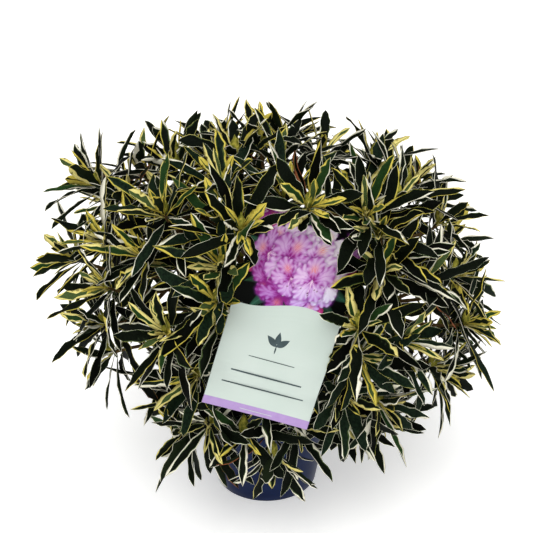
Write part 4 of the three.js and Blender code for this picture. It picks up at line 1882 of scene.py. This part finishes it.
    def leaf(self, spot: Floret, angle: float, size: tuple, low: str, high: str) -> None:
        """Paints one pointed leaf or closed bud, darker at its foot, with a pale midrib.

        Args:
            spot: Where its foot is.
            angle: Its direction.
            size: Its length and width.
            low: The hex colour of its foot.
            high: The hex colour of its tip.
        """
        along, across = self.seen_from(spot, angle)
        share = np.clip(along / size[0], 0, 1)
        half = 0.5 * size[1] * np.sin(math.pi * share**0.85) + 0.01
        inside = np.clip((half - np.abs(across)) * 1.6, 0, 1) * (share > 0) * (share < 1)
        glow = share * (0.6 + 0.4 * np.cos(across / half * 2))
        self.lay(inside, tint(low) + (tint(high) - tint(low)) * glow[:, None])
        self.lay(inside * np.clip(0.7 - np.abs(across) / 0.7, 0, 1), tint(high) * 1.6)

    def paint(self) -> Array:
        """Paints leaves, buds and two rings of flowers.

        Returns:
            The tint of each point.
        """
        chance = Chance(41)
        x0, y0 = self.middle
        for k in range(19):
            angle = FULL_TURN * k / 19 + chance.either(0.12)
            spot = Floret(x0 + 20 * math.cos(angle), y0 + 20 * math.sin(angle))
            size = (chance.between(34, 46), chance.between(9, 13))
            self.leaf(spot, angle, size, "0a130c", "274a31" if k % 3 else "35634a")
        for k in range(6):
            angle = 0.2 + FULL_TURN * k / 6
            spot = Floret(x0 + 42 * math.cos(angle), y0 + 36 * math.sin(angle))
            self.leaf(spot, angle + chance.either(0.5), (15, 8), "8c1347", "dc4f93")
        for x, y, tone in ((-47.0, 203.0, 0.05), (-30.0, 212.0, 0.3), (52.0, 196.0, 0.35)):
            self.flower(Floret(x, y, 19.0, 0.4 * x, 0.3, 0.8, tone), chance)
        for count, wide, high, start in ((9, 34.0, 30.0, 0.3), (4, 15.0, 13.0, 1.1)):
            for k in range(count):
                angle = FULL_TURN * k / count + start + chance.either(0.2)
                stray = 1 + chance.either(0.12)
                x, y = x0 + wide * stray * math.cos(angle), y0 + high * stray * math.sin(angle)
                tone = 0.62 + 0.42 * math.cos(angle - 0.8) * wide / 36 + chance.either(0.1)
                turn = (angle if count > 4 else 0.5 * math.pi) + chance.either(0.6)
                size, squeeze = chance.between(19.0, 25.0), mixed(1.0, 0.66, wide / 36)
                self.flower(Floret(x, y, size, turn, angle, squeeze, tone), chance)
        bluish = np.clip((y0 - 8 - self.v + 0.25 * self.u) / 26, 0, 1) * 0.4
        return self.colours * (1 - bluish[:, None] * np.array([0.45, 0.35, 0.0]))


@dataclass
class PlantLabel:
    """The printed label: card, tongue and a generic print of a flower truss over a pale panel.

    Sizes are in millimetres. An ink lies as many layers out of the card as its level says.
    """

    shape: LabelShape
    columns: int = 24
    rows: int = 78
    layer: float = 0.035
    ink_depth: float = 0.8
    trim: float = 0.2
    bow: float = 1.6
    wave: float = 1.1
    wave_length: float = 62.0
    print_columns: int = 142
    print_rows: int = 128
    print_foot: float = 0.5
    panel_level: float = 2.5
    band_level: float = 4.0
    rule_level: float = 5.5
    mesher: Mesher = field(default_factory=Mesher)

    def place(self, u: float, v: float, lift: float) -> Array:
        """A point of the card.

        Args:
            u: Right of its middle.
            v: Up from its foot.
            lift: How far it lies out of the card's face, which bows and waves a little.

        Returns:
            The point in the part's frame.
        """
        across = u / (self.shape.width / 2)
        bow = self.bow * (across**2 - 0.4)
        wave = self.wave * math.sin(FULL_TURN * v / self.wave_length + 0.6 * u / (self.shape.width / 2))
        out = self.shape.thickness / 2 + lift + bow + wave
        return self.shape.at(self.shape.card, v / self.shape.height, u, out)

    def film(self, us: Array, grid: Sequence, lift: float, depth: float, inks: tuple[Ink, Ink]) -> int:
        """Lays a closed thin sheet on the card.

        Args:
            us: Its columns, right of the card's middle.
            grid: The heights of its points, column by column, the lowest row first.
            lift: How far its front lies out of the card's face.
            depth: Its thickness.
            inks: The finish of its front, and of its back and edges.

        Returns:
            The number of its first point in the label's mesh.
        """
        rows, wide, (ink, back) = len(grid) - 1, len(us), (ink.value for ink in inks)
        spots = [(u, v) for row in grid for u, v in zip(us, row)]
        points = [self.place(u, v, out) for out in (lift, lift - depth) for u, v in spots]
        base, faces = len(spots), []
        for a in (j * wide + i for j in range(rows) for i in range(wide - 1)):
            faces.append((a, a + 1, a + wide + 1, a + wide))
            faces.append((base + a, base + a + wide, base + a + wide + 1, base + a + 1))
        border = list(range(wide)) + [j * wide + wide - 1 for j in range(1, rows + 1)]
        border += [rows * wide + i for i in reversed(range(wide - 1))]
        border += [j * wide for j in reversed(range(1, rows))]
        finishes = [ink, back] * (rows * (wide - 1)) + [back] * len(border)
        faces += [(a, base + a, base + b, b) for a, b in zip(border, border[1:] + border[:1])]
        return self.mesher.add(points, faces, finishes)

    def print_film(self, us: Array, grid: Sequence, level: float, ink: Ink) -> int:
        """Prints a grid of points as a closed film of one ink, as film says."""
        return self.film(us, grid, self.layer * level, self.ink_depth * self.layer, (ink, ink))

    def add_tongue(self) -> None:
        """Adds the narrow tongue, from behind the card's foot down into the soil."""
        half, thick = self.shape.tongue_width / 2, self.shape.thickness / 2
        points, steps = [], 24
        for share in (i / steps for i in range(steps + 1)):
            narrow = half * min(1.0, 0.25 + share / 0.12)
            for sideways, lift in ((-narrow, thick), (narrow, thick), (narrow, -thick), (-narrow, -thick)):
                points.append(self.shape.at(self.shape.tongue, share, sideways, lift))
        faces = tube_faces(steps, 4)
        self.mesher.add(points, faces, [Ink.STOCK.value] * len(faces))

    def print_patch(self, outline: Sequence[tuple[float, float]], level: float, ink: Ink) -> None:
        """Prints one convex patch as a closed film on the card.

        Args:
            outline: Its corners, anticlockwise, as (right, up).
            level: Which layer of ink it lies in.
            ink: Its ink.
        """
        lift, depth, count, faces = self.layer * level, self.ink_depth * self.layer, len(outline), []
        spots = [tuple(np.mean(outline, axis=0)), *outline]
        points = [self.place(u, v, out) for out in (lift, lift - depth) for u, v in spots]
        for k in range(count):
            following, under = (k + 1) % count, count + 1
            faces.append((0, 1 + k, 1 + following))
            faces.append((under, under + 1 + following, under + 1 + k))
            faces.append((1 + k, under + 1 + k, under + 1 + following, 1 + following))
        self.mesher.add(points, faces, [ink.value] * len(faces))

    def print_blade(self, y: float, angle: float, size: tuple[float, float], level: float) -> None:
        """Prints a pointed leaf of the sprig.

        Args:
            y: The height of its foot, on the card's middle.
            angle: Its direction.
            size: Its length and width.
            level: Which layer of ink it lies in.
        """
        length, width = size
        edge = [(length * i / 9, width / 2 * math.sin(math.pi * (i / 9) ** 0.8)) for i in range(10)]
        outline = [(a, -b) for a, b in edge] + [(a, b) for a, b in reversed(edge[1:-1])]
        cos, sin = math.cos(angle), math.sin(angle)
        self.print_patch([(a * cos - b * sin, y + a * sin + b * cos) for a, b in outline], level, Ink.GREY)

    def print_panel(self) -> None:
        """Prints the pale panel with its wavy top, its lilac foot, plain rules and a plain sprig."""
        half, height, rows = self.shape.width / 2, self.shape.height, 24
        us = np.linspace(self.trim - half, half - self.trim, 41)
        crest = [height * (0.56 + 0.028 * math.sin(math.pi * (u / half) * 0.9 + 0.6)) for u in us]
        for low, tops, level, ink in (
            (0.2, crest, self.panel_level, Ink.MINT),
            (0.3, [14.5] * len(us), self.band_level, Ink.LILAC_BAND),
        ):
            grid = [[mixed(low, top, j / rows) for top in tops] for j in range(rows + 1)]
            self.print_film(us, grid, level, ink)
        for v, reach, wide, ink in (
            (63.0, 24.0, 0.7, Ink.GREY),
            (46.0, 37.0, 1.3, Ink.GREY),
            (34.0, 43.0, 1.1, Ink.GREY),
            (7.0, 17.0, 0.9, Ink.MINT),
        ):
            bar = [(-reach, v), (reach, v), (reach, v + wide), (-reach, v + wide)]
            self.print_patch(bar, self.rule_level, ink)
        for k, lean in enumerate((0.0, 0.9, -0.9)):
            self.print_blade(79.0, math.pi / 2 + lean, (15, 6.5), self.band_level + 0.3 * k)
        self.print_blade(71.0, math.pi / 2, (10, 1.6), self.band_level - 0.1)

    def build(self) -> None:
        """Makes the label as one piece: card, tongue, and the flowers over the card's upper part."""
        half, height = self.shape.width / 2, self.shape.height
        us, vs = np.linspace(-half, half, self.columns + 1), np.linspace(0, height, self.rows + 1)
        self.film(us, [[v] * len(us) for v in vs], 0.0, self.shape.thickness, (Ink.GROUND, Ink.STOCK))
        self.add_tongue()
        us = np.linspace(self.trim - half, half - self.trim, self.print_columns)
        vs = np.linspace(self.print_foot * height, height - self.trim, self.print_rows)
        first = self.print_film(us, [[v] * len(us) for v in vs], 1.0, Ink.FOUR_COLOUR)
        self.print_panel()
        materials = [INK_FINISHES[ink].material() for ink in Ink]
        label = self.mesher.make("label_printed", materials, smooth=False)
        tints = TrussPainter(*(axis.ravel() for axis in np.meshgrid(us, vs))).paint()
        colours = np.ones((len(label.data.vertices), 4))
        colours[first : first + len(tints), :3] = tints
        name = INK_FINISHES[Ink.FOUR_COLOUR].attribute
        print_layer = label.data.color_attributes.new(name, "FLOAT_COLOR", "POINT")
        print_layer.data.foreach_set("color", colours.ravel())
        settle(label, ["label"])


# ---------------- studio


@dataclass
class Studio:
    """Floor, soft lights and camera. Distances are in metres and angles in degrees.

    Each lamp has a place, in degrees round from the right and above the floor, a power, and a
    width: a very large, far soft box, whose light is even over the whole floor.
    """

    floor: float = 60.0
    lamps: tuple = (
        ("key_light", -104.0, 56.0, 2.0, 48.0),
        ("fill_light", -60.0, 50.0, 0.7, 70.0),
        ("back_light", 95.0, 68.0, 0.5, 80.0),
    )
    air: float = 0.2
    elevation: float = 25.0
    distance: float = 1.3
    target: tuple[float, float, float] = (0.0, 0.0, 0.28)
    focal_px: float = 1148.0
    image_px: float = 533.0
    sensor: float = 36.0

    def light(self) -> None:
        """Hangs the lamps, and lights the air evenly."""
        for name, azimuth, height, power, width in self.lamps:
            data = bpy.data.lights.new(name, "SUN")
            data.energy, data.angle = power, math.radians(width)
            lamp, way = linked(name, data), Vector(bearing(math.radians(azimuth), math.radians(height)))
            lamp.location = way * 3
            lamp.rotation_euler = way.to_track_quat("Z", "Y").to_euler()
        world = bpy.data.worlds.new("studio_air")
        world.use_nodes = True
        background = world.node_tree.nodes["Background"]
        background.inputs["Color"].default_value = WHITE
        background.inputs["Strength"].default_value = self.air
        bpy.context.scene.world = world
        bpy.context.scene.view_settings.view_transform = "Standard"

    def build(self) -> None:
        """Sets up the studio."""
        mesher, size = Mesher(), self.floor / MM
        mesher.add([[-size, -size, 0], [size, -size, 0], [size, size, 0], [-size, size, 0]], [(0, 1, 2, 3)])
        mesher.make("studio_floor", [PAPER.material()])
        self.light()
        data = bpy.data.cameras.new("studio_camera")
        data.sensor_width = self.sensor
        data.lens = self.focal_px / self.image_px * self.sensor
        camera, pitch = linked("studio_camera", data), math.radians(self.elevation)
        back = Vector((0.0, -math.cos(pitch), math.sin(pitch)))
        camera.location = Vector(self.target) + back * self.distance
        camera.rotation_euler = (-back).to_track_quat("-Z", "Y").to_euler()
        bpy.context.scene.camera = camera


def main() -> None:
    """Builds the studio and the plant, piece by piece."""
    logging.basicConfig(level=logging.INFO, format="%(name)s: %(message)s")
    Studio().build()
    pot, label = PotShape(), LabelShape()
    rule = GrowthRule(label, pot)
    rule.grow()
    for part in (NurseryPot(pot), PottingSoil(pot), PlantLabel(label), Wood(rule), Buds(rule), Foliage(rule)):
        part.build()


if __name__ == "__main__":
    main()
